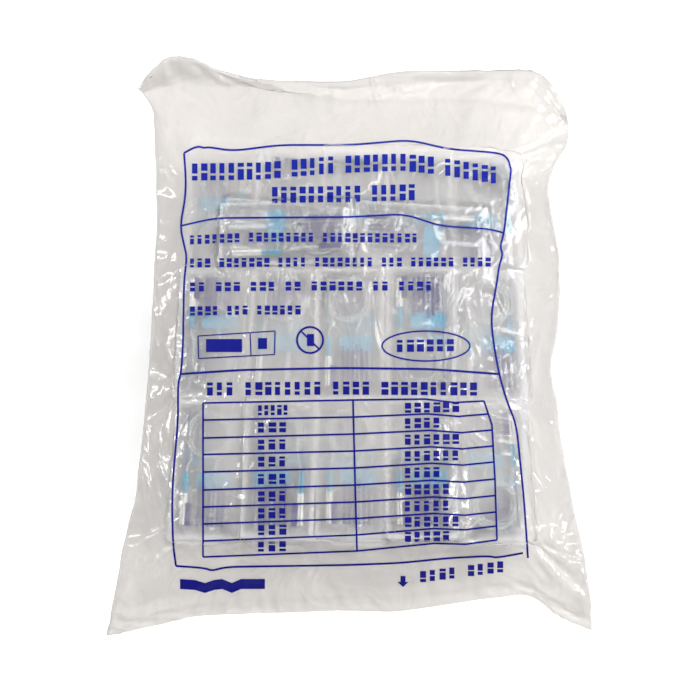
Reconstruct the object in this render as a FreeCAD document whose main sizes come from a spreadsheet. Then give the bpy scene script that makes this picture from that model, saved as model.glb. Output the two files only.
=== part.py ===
"""A sealed film bag of butterfly blood-collection needles, lying on its back.

The bag is a tube of hazy film, heat-sealed across both ends, with a skirt of film past each seal.
It holds a heap of flat film pouches. Each pouch holds one needle set: a front cannula in a winged
hub, its sheath, a spiral of clear tubing, and an adapter with a rear cannula, a rubber sleeve and
a cap.

Frame: millimetres, +Z up, +Y towards the top of the printed face, origin on the table under the
middle of the bag.
"""
import FreeCAD, Part
import Sketcher
import math
import os
import random
from FreeCAD import Placement, Rotation, Vector

SIZES = (
    ("bag_width", 340.0, "flat width of the film tube, fold to fold"),
    ("bag_length", 430.0, "length of the film tube with both skirts"),
    ("film_thickness", 0.4, "bag film, thicker than the real one so that it stays a sound solid"),
    ("fill_height", 60.0, "highest point of the filled bag"),
    ("fold_height", 22.0, "height of the side folds above the table"),
    ("waist_pull", 22.0, "how far filling pulls each side fold in from the flat width"),
    ("top_skirt", 29.0, "film past the top seal"),
    ("bottom_skirt", 14.0, "film past the bottom seal"),
    ("seal_height", 9.0, "height of the end seals above the table"),
    ("seal_band", 3.0, "width of the end seals"),
    ("table_dip", 0.6, "film pressed flat by the table, measured before it is trimmed"),
    ("heap_clearance", 0.3, "gap between the heap and the film under and over it"),
    ("set_count", 100, "pouches in the bag"),
    ("pouch_wall", 0.2, "pouch film"),
    ("pouch_seal", 3.0, "flat sealed border of a pouch"),
    ("pouch_slope", 4.0, "run of film between the sealed border and the thick middle"),
    ("pouch_gap", 0.2, "gap between pouches that rest on each other"),
    ("pouch_room", 0.1, "gap between the pouch film and the pieces inside it"),
    ("set_gap", 3.0, "least gap between the wings and the adapter lying beside them"),
    ("tube_diameter", 2.1, "tubing, outside"),
    ("tube_bore", 1.3, "tubing, inside"),
    ("coil_radius", 17.0, "outer turn of the tubing spiral, to the tubing's middle"),
    ("coil_gap", 0.2, "gap between turns of the spiral"),
    ("coil_turns", 3, "turns of the spiral, the last one a half turn"),
    ("lead_radius", 16.0, "bends of the tubing between the spiral and its sockets"),
    ("socket_depth", 4.0, "how far the tubing goes into the hub and the adapter"),
    ("fit_gap", 0.03, "radial clearance of every piece that slides into another"),
    ("cannula_diameter", 0.8, "both cannulas, outside"),
    ("cannula_bore", 0.5, "both cannulas, inside"),
    ("cannula_reach", 19.0, "front cannula, past the nose of the hub"),
    ("cannula_seat", 8.0, "length of a cannula held in its hub"),
    ("bevel_angle", 15.0, "ground tip of a cannula, in degrees"),
    ("nose_diameter", 2.6, "nose of the winged hub, which takes the sheath"),
    ("nose_length", 5.0, "nose of the winged hub"),
    ("hub_diameter", 4.2, "body of the winged hub"),
    ("hub_length", 15.0, "body of the winged hub"),
    ("wing_span", 26.0, "wing tip to wing tip"),
    ("wing_depth", 12.0, "wing, along the hub"),
    ("wing_thickness", 0.9, "wing"),
    ("wing_corner", 3.0, "rounded wing corners"),
    ("sheath_diameter", 4.0, "needle sheath, outside"),
    ("sheath_spare", 2.0, "room in a sheath or cap past the tip that it covers"),
    ("sheath_end", 1.0, "closed end of a sheath or cap"),
    ("adapter_diameter", 5.2, "adapter flange"),
    ("adapter_body", 4.6, "adapter body"),
    ("adapter_length", 15.0, "adapter, without its spigot"),
    ("adapter_flange", 3.0, "length of the adapter flange"),
    ("spigot_diameter", 2.2, "spigot that the rubber sleeve is pushed on"),
    ("spigot_length", 3.0, "spigot that the rubber sleeve is pushed on"),
    ("rear_reach", 13.0, "rear cannula, past the spigot"),
    ("sleeve_diameter", 3.2, "rubber sleeve over the rear cannula, outside"),
    ("cap_diameter", 5.0, "cap over the rubber sleeve, outside"),
    ("cap_wall", 0.6, "cap over the rubber sleeve"),
)

# The bag's section at stations along it, from the bottom seal to the top seal.
# along: share of the way from the middle to that seal. crown and fold: shares of fill_height
# and fold_height. lift: share of seal_height. left and right: shares of waist_pull.
STATIONS = (
    # along, crown, lift, fold, left, right
    (-1.000, 0.19, 1.00, 0.43, 0.02, 0.00),
    (-0.960, 0.46, 0.55, 0.62, 0.08, 0.03),
    (-0.900, 0.68, 0.14, 0.80, 0.18, 0.06),
    (-0.800, 0.84, 0.00, 0.95, 0.32, 0.14),
    (-0.640, 0.94, 0.00, 1.00, 0.50, 0.28),
    (-0.450, 0.99, 0.00, 1.00, 0.68, 0.60),
    (-0.220, 1.00, 0.00, 1.00, 0.88, 0.90),
    (0.020, 1.00, 0.00, 1.00, 1.00, 0.66),
    (0.250, 0.98, 0.00, 1.00, 0.96, 0.44),
    (0.460, 0.93, 0.00, 1.00, 0.86, 0.66),
    (0.600, 0.87, 0.00, 0.98, 0.84, 0.92),
    (0.720, 0.80, 0.00, 0.90, 0.86, 0.50),
    (0.820, 0.70, 0.05, 0.80, 0.84, 0.06),
    (0.900, 0.52, 0.25, 0.65, 0.66, 0.08),
    (0.955, 0.34, 0.60, 0.52, 0.36, 0.22),
    (1.000, 0.19, 1.00, 0.43, 0.22, 0.40),
)
# The skirts' outer edge at places across the bag: its height as a share of seal_height, and how
# far it falls short of the full length as a share of the skirt.
ACROSS = (-1.0, -0.95, -0.6, -0.4, -0.1, 0.3, 0.7, 0.9, 1.0)
TOP_EDGE_RISE = (1.3, 1.8, 2.2, 2.4, 1.7, 1.1, 1.4, 1.9, 1.5)
BOTTOM_EDGE_RISE = (0.5, 0.4, 0.6, 0.75, 0.6, 0.7, 0.5, 0.3, 0.45)
TOP_EDGE_SHORT = (0.55, 0.0, 0.0, 0.3, 0.6, 0.3, 0.28, 0.4, 0.95)
BOTTOM_EDGE_SHORT = (0.0, 0.15, 0.8, 0.95, 1.1, 1.1, 0.9, 0.4, 0.0)
BOTTOM_CORNERS = (0.0, 0.0)
TOP_CORNERS = (0.0, 0.05)

# The bag's section: poles from its middle to a fold, and how boxy its top and underside are.
HALF_POLES = 9
TOP_POWER = 3.0
UNDER_POWER = 5.0

# The heap: the cells that its heights are kept in, the steepest lean of a pouch, and how far each
# try may stray from a neat row.
GROUPS = 7
HEAP_CELL = 4.0
STEEPEST = 0.15
HEAP_SEED = 2
TRIES = 4
DROPS = 4
DROP = 2.0
SHIFT = 1.5
TURN = 2.5


def size_sheet(doc, name, rows):
    """A spreadsheet of sizes, each in a cell with its own alias."""
    sheet = doc.addObject("Spreadsheet::Sheet", name)
    for row, (alias, value, note) in enumerate(rows, start=1):
        sheet.set(f"A{row}", note)
        sheet.set(f"B{row}", str(value))
        sheet.setAlias(f"B{row}", alias)
    doc.recompute()
    return {alias: float(sheet.get(alias)) for alias, _, _ in rows}


def between(places, values, at):
    """The value at a place, in straight lines between the given places."""
    if at <= places[0]:
        return values[0]
    for i in range(1, len(places)):
        if at <= places[i]:
            share = (at - places[i - 1]) / (places[i] - places[i - 1])
            return values[i - 1] + share * (values[i] - values[i - 1])
    return values[-1]


# The film bag


def cross_shares():
    """Places across the bag from fold to fold, closer together towards the folds."""
    steps = range(-HALF_POLES, HALF_POLES + 1)
    return [math.sin(math.pi / 2 * step / HALF_POLES) for step in steps]


def seal_rows(size, end, mid_heights):
    """Pole rows of one skirt, from its outer edge in to its seal, as (y, corners, heights)."""
    half = size["bag_length"] / 2
    top = end > 0
    skirt = size["top_skirt"] if top else size["bottom_skirt"]
    rise = TOP_EDGE_RISE if top else BOTTOM_EDGE_RISE
    short = TOP_EDGE_SHORT if top else BOTTOM_EDGE_SHORT
    shares = cross_shares()
    edge_y = [end * (half - between(ACROSS, short, s) * skirt / 2) for s in shares]
    edge_z = [between(ACROSS, rise, s) * size["seal_height"] for s in shares]
    seal_y = end * (half - skirt)
    seal_line = [seal_y for _ in shares]
    middle_y = [(a + seal_y) / 2 for a in edge_y]
    middle_z = [(a + b) / 2 for a, b in zip(edge_z, mid_heights)]
    return [(edge_y, edge_z), (middle_y, middle_z), (seal_line, mid_heights)]


def film_poles(size, inset):
    """Pole rows of the film's top and underside, bottom edge to top edge, taken in by an inset."""
    shares = cross_shares()
    ply = size["film_thickness"]
    half = size["bag_length"] / 2
    ends = (half - size["bottom_skirt"] - size["seal_band"], half - size["top_skirt"] - size["seal_band"])
    dip = 0.0 if inset else size["table_dip"]
    fold_ply = ply / 4 if inset else ply
    top_rows = []
    low_rows = []
    for along, crown, lift, fold, left, right in STATIONS:
        y = along * (ends[0] if along < 0 else ends[1])
        crown_z = crown * size["fill_height"] - inset
        under_z = lift * size["seal_height"] + inset - (dip if lift == 0.0 else 0.0)
        fold_z = fold * size["fold_height"]
        top_row = []
        low_row = []
        for share in shares:
            pull = size["waist_pull"] * (left if share < 0 else right)
            x = share * (size["bag_width"] / 2 - pull - 2 * inset)
            rise = math.sqrt(1 - abs(share) ** TOP_POWER)
            fall = math.sqrt(1 - abs(share) ** UNDER_POWER)
            top_z = max(fold_z + (crown_z - fold_z) * rise, fold_z + fold_ply)
            low_z = min(fold_z - (fold_z - under_z) * fall, fold_z - fold_ply)
            top_row.append(Vector(x, y, top_z))
            low_row.append(Vector(x, y, low_z))
        top_rows.append(top_row)
        low_rows.append(low_row)
    for end, at, corners in ((-1, 0, BOTTOM_CORNERS), (1, -1, TOP_CORNERS)):
        middle = [(t.z + u.z) / 2 for t, u in zip(top_rows[at], low_rows[at])]
        rows = seal_rows(size, end, middle)
        tops = []
        lows = []
        for y_line, z_line in rows:
            tops.append([])
            lows.append([])
            for k, share in enumerate(shares):
                pull = size["waist_pull"] * (corners[0] if share < 0 else corners[1])
                x = share * (size["bag_width"] / 2 - pull - 2 * inset)
                tops[-1].append(Vector(x, y_line[k], z_line[k] + fold_ply))
                lows[-1].append(Vector(x, y_line[k], z_line[k] - fold_ply))
        if end < 0:
            top_rows = tops + top_rows
            low_rows = lows + low_rows
        else:
            top_rows = top_rows + tops[::-1]
            low_rows = low_rows + lows[::-1]
    return top_rows, low_rows


def spline_surface(rows):
    """A smooth surface over rows of poles, cubic both ways, that ends on its outer poles."""
    knots = []
    for count in (len(rows), len(rows[0])):
        places = list(range(count - 2))
        knots.append((places, [4] + [1] * (count - 4) + [4]))
    surface = Part.BSplineSurface()
    surface.buildFromPolesMultsKnots(
        rows, knots[0][1], knots[1][1], knots[0][0], knots[1][0], False, False, 3, 3)
    return surface


def closed_between(top, low):
    """The solid between two surfaces of like edges, closed by four narrow strips."""
    faces = [top.toShape(), low.toShape()]
    first_u, last_u, first_v, last_v = top.bounds()
    for at in (first_u, last_u):
        faces.append(Part.makeRuledSurface(top.uIso(at).toShape(), low.uIso(at).toShape()))
    for at in (first_v, last_v):
        faces.append(Part.makeRuledSurface(top.vIso(at).toShape(), low.vIso(at).toShape()))
    shell = Part.Compound(faces)
    shell.sewShape()
    solid = Part.Solid(shell.Shells[0])
    if solid.Volume < 0:
        solid.reverse()
    return solid


def cavity_surfaces(size):
    """The film's inner top and underside, between the seals."""
    top_rows, low_rows = film_poles(size, size["film_thickness"])
    surfaces = []
    for rows in (top_rows, low_rows):
        surface = spline_surface(rows)
        first_u, last_u, first_v, last_v = surface.bounds()
        surface.segment(first_u + 2.5, last_u - 2.5, first_v, last_v)
        surfaces.append(surface)
    return surfaces


def film_shape(size, cavity):
    """The film bag as one closed wall, flat where it lies on the table."""
    top_rows, low_rows = film_poles(size, 0.0)
    outer = closed_between(spline_surface(top_rows), spline_surface(low_rows))
    wall = outer.cut(closed_between(*cavity))
    box = wall.BoundBox
    below = Part.makeBox(box.XLength, box.YLength, size["fill_height"],
                         Vector(box.XMin, box.YMin, -size["fill_height"]))
    return wall.cut(below)


# Turned and moulded pieces


def turned_body(doc, name, outline, tools=()):
    """A body turned about X. outline and tools: corners as pairs of expressions, x and radius."""
    body = doc.addObject("PartDesign::Body", name)
    body.Label = name
    for step, corners in enumerate((outline,) + tuple(tools)):
        sketch = turned_sketch(doc, body, f"{name}_outline_{step}", corners)
        kind = "PartDesign::Groove" if step else "PartDesign::Revolution"
        feature = body.newObject(kind, f"{name}_turned_{step}")
        feature.Profile = sketch
        feature.ReferenceAxis = (sketch, ["H_Axis"])
        feature.Angle = 360
        sketch.Visibility = False
        doc.recompute()
    return body


def origin_plane(body, role):
    """One of a body's own origin planes."""
    return [item for item in body.Origin.OriginFeatures if item.Role == role][0]


def turned_sketch(doc, body, name, corners):
    """A closed outline of straight lines whose corners are bound to the spreadsheet."""
    sketch = body.newObject("Sketcher::SketchObject", name)
    sketch.AttachmentSupport = [(origin_plane(body, "XZ_Plane"), "")]
    sketch.MapMode = "FlatFace"
    places = [(cell_value(doc, x), cell_value(doc, r)) for x, r in corners]
    count = len(corners)
    for i in range(count):
        start = places[i]
        end = places[(i + 1) % count]
        line = Part.LineSegment(Vector(start[0], start[1], 0), Vector(end[0], end[1], 0))
        sketch.addGeometry(line, False)
    for i in range(count):
        sketch.addConstraint(Sketcher.Constraint("Coincident", i, 2, (i + 1) % count, 1))
    for i in range(count):
        bind_corner(sketch, i, "DistanceX", -2, corners[i][0], places[i][0])
        bind_corner(sketch, i, "DistanceY", -1, corners[i][1], places[i][1])
    doc.recompute()
    return sketch


def bind_corner(sketch, corner, kind, axis, expression, value):
    """One coordinate of a sketch corner: on the axis, or at a distance from the origin."""
    if expression == "0":
        sketch.addConstraint(Sketcher.Constraint("PointOnObject", corner, 1, axis))
        return
    index = sketch.addConstraint(Sketcher.Constraint(kind, -1, 1, corner, 1, value))
    sketch.setExpression(f"Constraints[{index}]", expression)


def cell_value(doc, expression):
    """The value of an expression of spreadsheet cells, for a sketch's first position."""
    if expression == "0":
        return 0.0
    probe = doc.addObject("App::FeaturePython", "probe")
    probe.addProperty("App::PropertyFloat", "Value")
    probe.setExpression("Value", expression)
    probe.recompute()
    value = float(probe.Value)
    doc.removeObject(probe.Name)
    return value


def winged_hub(doc):
    """The winged hub, moulded in one: a turned body with a nose, and two thin wings."""
    body = turned_body(doc, "winged_hub", (
        ("0", "0"),
        ("sizes.hub_length + sizes.nose_length", "0"),
        ("sizes.hub_length + sizes.nose_length", "sizes.nose_diameter / 2"),
        ("sizes.hub_length", "sizes.nose_diameter / 2"),
        ("sizes.hub_length", "sizes.hub_diameter / 2"),
        ("0", "sizes.hub_diameter / 2"),
    ))
    sketch = body.newObject("Sketcher::SketchObject", "wing_outline")
    sketch.AttachmentSupport = [(origin_plane(body, "XY_Plane"), "")]
    sketch.MapMode = "FlatFace"
    depth = cell_value(doc, "sizes.wing_depth")
    tip = cell_value(doc, "sizes.wing_span / 2")
    start = cell_value(doc, "(sizes.hub_length - sizes.wing_depth) / 2")
    corners = [(start, -tip), (start + depth, -tip), (start + depth, tip), (start, tip)]
    for i in range(4):
        one = corners[i]
        two = corners[(i + 1) % 4]
        sketch.addGeometry(Part.LineSegment(Vector(one[0], one[1], 0), Vector(two[0], two[1], 0)), False)
    for i in range(4):
        sketch.addConstraint(Sketcher.Constraint("Coincident", i, 2, (i + 1) % 4, 1))
    for i in (0, 2):
        sketch.addConstraint(Sketcher.Constraint("Horizontal", i))
    for i in (1, 3):
        sketch.addConstraint(Sketcher.Constraint("Vertical", i))
    for kind, first, second, expression in (
            ("DistanceX", (-1, 1), (0, 1), "(sizes.hub_length - sizes.wing_depth) / 2"),
            ("DistanceX", (0, 1), (0, 2), "sizes.wing_depth"),
            ("DistanceY", (-1, 1), (2, 1), "sizes.wing_span / 2"),
            ("DistanceY", (0, 1), (2, 1), "sizes.wing_span")):
        value = cell_value(doc, expression)
        index = sketch.addConstraint(Sketcher.Constraint(kind, *first, *second, value))
        sketch.setExpression(f"Constraints[{index}]", expression)
    doc.recompute()
    pad = body.newObject("PartDesign::Pad", "wings")
    pad.Profile = sketch
    pad.SideType = "Symmetric"
    pad.setExpression("Length", "sizes.wing_thickness")
    doc.recompute()
    tips = []
    for number, edge in enumerate(pad.Shape.Edges, start=1):
        ends = [v.Point for v in edge.Vertexes]
        upright = len(ends) == 2 and abs(ends[0].x - ends[1].x) + abs(ends[0].y - ends[1].y) < 1e-6
        if upright and abs(abs(ends[0].y) - tip) < 1e-6:
            tips.append(f"Edge{number}")
    corner = body.newObject("PartDesign::Fillet", "wing_corners")
    corner.Base = (pad, tips)
    corner.setExpression("Radius", "sizes.wing_corner")
    doc.recompute()
    bore = turned_sketch(doc, body, "winged_hub_bore", (
        ("0", "0"),
        ("sizes.hub_length + sizes.nose_length", "0"),
        ("sizes.hub_length + sizes.nose_length", "sizes.cannula_diameter / 2 + sizes.fit_gap"),
        ("sizes.hub_length + sizes.nose_length - sizes.cannula_seat",
         "sizes.cannula_diameter / 2 + sizes.fit_gap"),
        ("sizes.hub_length + sizes.nose_length - sizes.cannula_seat", "sizes.cannula_bore / 2"),
        ("sizes.socket_depth", "sizes.cannula_bore / 2"),
        ("sizes.socket_depth", "sizes.tube_diameter / 2 + sizes.fit_gap"),
        ("0", "sizes.tube_diameter / 2 + sizes.fit_gap"),
    ))
    groove = body.newObject("PartDesign::Groove", "winged_hub_bores")
    groove.Profile = bore
    groove.ReferenceAxis = (bore, ["H_Axis"])
    groove.Angle = 360
    doc.recompute()
    return body


def adapter(doc):
    """The adapter, turned: a tubing socket, a flange, a body and a spigot for the sleeve."""
    end = "sizes.adapter_length"
    tip = "sizes.adapter_length + sizes.spigot_length"
    seat = "sizes.adapter_length + sizes.spigot_length - sizes.cannula_seat"
    bore = "sizes.cannula_diameter / 2 + sizes.fit_gap"
    return turned_body(doc, "adapter", (
        ("0", "sizes.tube_diameter / 2 + sizes.fit_gap"),
        ("sizes.socket_depth", "sizes.tube_diameter / 2 + sizes.fit_gap"),
        ("sizes.socket_depth", "sizes.cannula_bore / 2"),
        (seat, "sizes.cannula_bore / 2"),
        (seat, bore),
        (tip, bore),
        (tip, "sizes.spigot_diameter / 2"),
        (end, "sizes.spigot_diameter / 2"),
        (end, "sizes.adapter_body / 2"),
        ("sizes.socket_depth + sizes.adapter_flange", "sizes.adapter_body / 2"),
        ("sizes.socket_depth + sizes.adapter_flange", "sizes.adapter_diameter / 2"),
        ("sizes.socket_depth", "sizes.adapter_diameter / 2"),
        ("sizes.socket_depth", "sizes.adapter_body / 2"),
        ("0", "sizes.adapter_body / 2"),
    ))


def closed_sleeve(doc, name, length, inside, outside):
    """A turned tube, open at its start and closed at its far end. All are expressions."""
    return turned_body(doc, name, (
        ("0", inside),
        (f"{length} - sizes.sheath_end", inside),
        (f"{length} - sizes.sheath_end", "0"),
        (length, "0"),
        (length, outside),
        ("0", outside),
    ))


def cannula(doc, name, length):
    """A steel cannula with a ground tip, from the end in its hub to its point."""
    outside = doc.addObject("Part::Cylinder", f"{name}_outside")
    outside.setExpression("Radius", "sizes.cannula_diameter / 2")
    outside.setExpression("Height", length)
    inside = doc.addObject("Part::Cylinder", f"{name}_inside")
    inside.setExpression("Radius", "sizes.cannula_bore / 2")
    inside.setExpression("Height", length)
    tube = doc.addObject("Part::Cut", f"{name}_tube")
    tube.Base = outside
    tube.Tool = inside
    bevel = doc.addObject("Part::Box", f"{name}_bevel")
    reach = "8 * sizes.cannula_diameter"
    bevel.setExpression("Length", reach)
    bevel.setExpression("Width", reach)
    bevel.setExpression("Height", reach)
    bevel.setExpression("Placement.Base.x",
                        f"{reach} * sin(sizes.bevel_angle) - sizes.cannula_diameter / 2")
    bevel.setExpression("Placement.Base.y", f"-{reach} / 2")
    bevel.setExpression("Placement.Base.z", f"{length} - {reach} * cos(sizes.bevel_angle)")
    bevel.setExpression("Placement.Rotation.Angle", "-sizes.bevel_angle")
    bevel.Placement.Rotation.Axis = Vector(0, 1, 0)
    ground = doc.addObject("Part::Cut", name)
    ground.Label = name
    ground.Base = tube
    ground.Tool = bevel
    doc.recompute()
    return ground


# The tubing


def straight(start, end):
    """A straight run of the tubing's path."""
    return Part.makeLine(start, end)


def s_bend(start, heading, offset, radius):
    """Two like arcs that carry the path sideways by an offset, and where they end."""
    along = Vector(heading, 0, 0)
    aside = Vector(offset)
    shift = aside.Length
    aside.normalize()
    turn = math.acos(1 - shift / (2 * radius))

    def first(angle):
        return start + along * (radius * math.sin(angle)) + aside * (radius * (1 - math.cos(angle)))

    run = 2 * radius * math.sin(turn)
    end = start + along * run + aside * shift

    def second(angle):
        return end - along * (radius * math.sin(angle)) - aside * (radius * (1 - math.cos(angle)))

    edges = [Part.Arc(first(0), first(turn / 2), first(turn)).toShape(),
             Part.Arc(second(turn), second(turn / 2), second(0)).toShape()]
    return edges, end


def bend_run(offset, radius):
    """How far along an s_bend goes."""
    return 2 * radius * math.sin(math.acos(1 - offset / (2 * radius)))


def half_turn(start, centre_y, radius, side, rise):
    """Half a turn of the spiral, to one side of it, that may climb as it goes round."""
    up = 1 if start.y < centre_y else -1
    end = Vector(start.x, start.y + up * 2 * radius, start.z + rise)
    reach = math.hypot(radius, rise / 2) * side
    middle = Vector(start.x + reach, (start.y + end.y) / 2, (start.z + end.z) / 2)
    return Part.Arc(start, middle, end).toShape(), end


def tubing_path(size, fits):
    """The tubing's middle line: out of the hub, round the spiral, over it and into the adapter."""
    hub = Vector(fits["hub_x"], fits["hub_y"], 0)
    inside_hub = hub + Vector(size["socket_depth"], 0, 0)
    edges = [straight(inside_hub, hub)]
    low = -fits["coil_pitch"] / 2
    outer = size["coil_radius"]
    bend, at = s_bend(hub, -1, Vector(0, -outer - fits["hub_y"], low), size["lead_radius"])
    edges += bend
    turns = int(size["coil_turns"])
    for turn in range(turns):
        radius = outer - turn * fits["coil_pitch"]
        last = turn == turns - 1
        edge, at = half_turn(at, 0.0, radius, -1, fits["coil_pitch"] if last else 0.0)
        edges.append(edge)
        if not last:
            edge, at = half_turn(at, fits["coil_pitch"] / 2, radius - fits["coil_pitch"] / 2, 1, 0.0)
            edges.append(edge)
    over = at + Vector(fits["crossing"], 0, 0)
    edges.append(straight(at, over))
    offset = Vector(0, fits["adapter_y"] - over.y, -over.z)
    bend, at = s_bend(over, 1, offset, size["lead_radius"])
    edges += bend
    edges.append(straight(at, at + Vector(size["socket_depth"], 0, 0)))
    return Part.Wire(edges)


def tubing_shape(size, fits):
    """The tubing as one swept tube."""
    path = tubing_path(size, fits)
    first = path.Edges[0]
    start = first.valueAt(first.FirstParameter)
    rings = [Part.Wire(Part.makeCircle(diameter / 2, start, Vector(-1, 0, 0)))
             for diameter in (size["tube_diameter"], size["tube_bore"])]
    tube = path.makePipe(Part.makeFace(rings, "Part::FaceMakerBullseye"))
    area = math.pi / 4 * (size["tube_diameter"] ** 2 - size["tube_bore"] ** 2)
    print("tubing length", round(path.Length, 1), "volume share", tube.Volume / (area * path.Length))
    return tube


def fitted(size):
    """Places and sizes inside a pouch that follow from the driving sizes."""
    pitch = size["tube_diameter"] + size["coil_gap"]
    outer = size["coil_radius"]
    adapter_half = max(size["adapter_diameter"], size["cap_diameter"]) / 2
    beside = size["wing_span"] / 2 + size["set_gap"] / 2 + adapter_half
    half_width = max(outer + size["tube_diameter"] / 2, beside) + size["pouch_room"]
    hub_y = -half_width + size["pouch_room"] + size["wing_span"] / 2
    adapter_y = half_width - size["pouch_room"] - adapter_half
    lead = math.hypot(hub_y + outer, pitch / 2)
    hub_x = bend_run(lead, size["lead_radius"])
    coil_end = outer - (size["coil_turns"] - 1) * pitch
    widest = outer - pitch / 2
    reach = math.sqrt(max(widest ** 2 - (coil_end - pitch / 2) ** 2, 0.0))
    crossing = reach + size["tube_diameter"]
    follow = math.hypot(adapter_y - coil_end, pitch / 2)
    adapter_x = crossing + bend_run(follow, size["lead_radius"])
    hub_end = hub_x + size["hub_length"] + size["nose_length"]
    sheath_length = size["nose_length"] + size["cannula_reach"] + size["sheath_spare"] + size["sheath_end"]
    sheath_x = hub_x + size["hub_length"]
    adapter_end = adapter_x + size["adapter_length"]
    sleeve_length = size["spigot_length"] + size["rear_reach"] + size["sheath_spare"] + size["sheath_end"]
    cap_length = sleeve_length + size["sheath_spare"] + size["sheath_end"]
    left = -outer - size["tube_diameter"] / 2
    right = max(sheath_x + sheath_length, adapter_end + cap_length)
    thickest = max(size["adapter_diameter"], size["cap_diameter"], size["hub_diameter"],
                   size["sheath_diameter"], 2 * (pitch / 2 + size["tube_diameter"] / 2))
    return {
        "coil_pitch": pitch,
        "hub_x": hub_x,
        "hub_y": hub_y,
        "adapter_x": adapter_x,
        "adapter_y": adapter_y,
        "crossing": crossing,
        "front_length": size["cannula_seat"] + size["cannula_reach"],
        "rear_length": size["cannula_seat"] + size["rear_reach"],
        "front_x": hub_end - size["cannula_seat"],
        "rear_x": adapter_end + size["spigot_length"] - size["cannula_seat"],
        "sheath_length": sheath_length,
        "sheath_x": sheath_x,
        "sleeve_length": sleeve_length,
        "sleeve_x": adapter_end,
        "cap_length": cap_length,
        "middle_x": (left + right) / 2,
        "flat_length": right - left + 2 * size["pouch_room"],
        "flat_width": 2 * half_width,
        "half_height": thickest / 2 + size["pouch_room"] + size["pouch_wall"],
    }


# The pouch


def pouch(doc):
    """A film pouch: two sheets sealed all round, raised over the set between them."""
    flat_x = "fits.flat_length"
    flat_y = "fits.flat_width"
    base_x = "(fits.flat_length + 2 * sizes.pouch_slope)"
    base_y = "(fits.flat_width + 2 * sizes.pouch_slope)"
    rim = doc.addObject("Part::Box", "pouch_rim")
    rim.setExpression("Length", f"{base_x} + 2 * sizes.pouch_seal")
    rim.setExpression("Width", f"{base_y} + 2 * sizes.pouch_seal")
    rim.setExpression("Height", "2 * sizes.pouch_wall")
    rim.setExpression("Placement.Base.x", f"-({base_x} / 2 + sizes.pouch_seal)")
    rim.setExpression("Placement.Base.y", f"-({base_y} / 2 + sizes.pouch_seal)")
    rim.setExpression("Placement.Base.z", "-sizes.pouch_wall")
    outer = []
    inner = []
    for group, name, inset in ((outer, "outside", "0"), (inner, "inside", "sizes.pouch_wall")):
        for side, turn in (("upper", 90), ("lower", -90)):
            wedge = doc.addObject("Part::Wedge", f"pouch_{side}_{name}")
            wedge.setExpression("Xmin", f"-{base_x} / 2 + {inset}")
            wedge.setExpression("Xmax", f"{base_x} / 2 - {inset}")
            wedge.setExpression("Zmin", f"-{base_y} / 2 + {inset}")
            wedge.setExpression("Zmax", f"{base_y} / 2 - {inset}")
            wedge.Ymin = 0
            wedge.setExpression("Ymax", f"fits.half_height - {inset}")
            wedge.setExpression("X2min", f"-{flat_x} / 2")
            wedge.setExpression("X2max", f"{flat_x} / 2")
            wedge.setExpression("Z2min", f"-{flat_y} / 2")
            wedge.setExpression("Z2max", f"{flat_y} / 2")
            wedge.Placement = Placement(Vector(0, 0, 0), Rotation(Vector(1, 0, 0), turn))
            group.append(wedge)
    full = doc.addObject("Part::MultiFuse", "pouch_full")
    full.Shapes = [rim] + outer
    hollow = doc.addObject("Part::MultiFuse", "pouch_hollow")
    hollow.Shapes = inner
    film = doc.addObject("Part::Cut", "pouch")
    film.Label = "pouch"
    film.Base = full
    film.Tool = hollow
    doc.recompute()
    return film


# The heap of pouches in the bag


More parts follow.
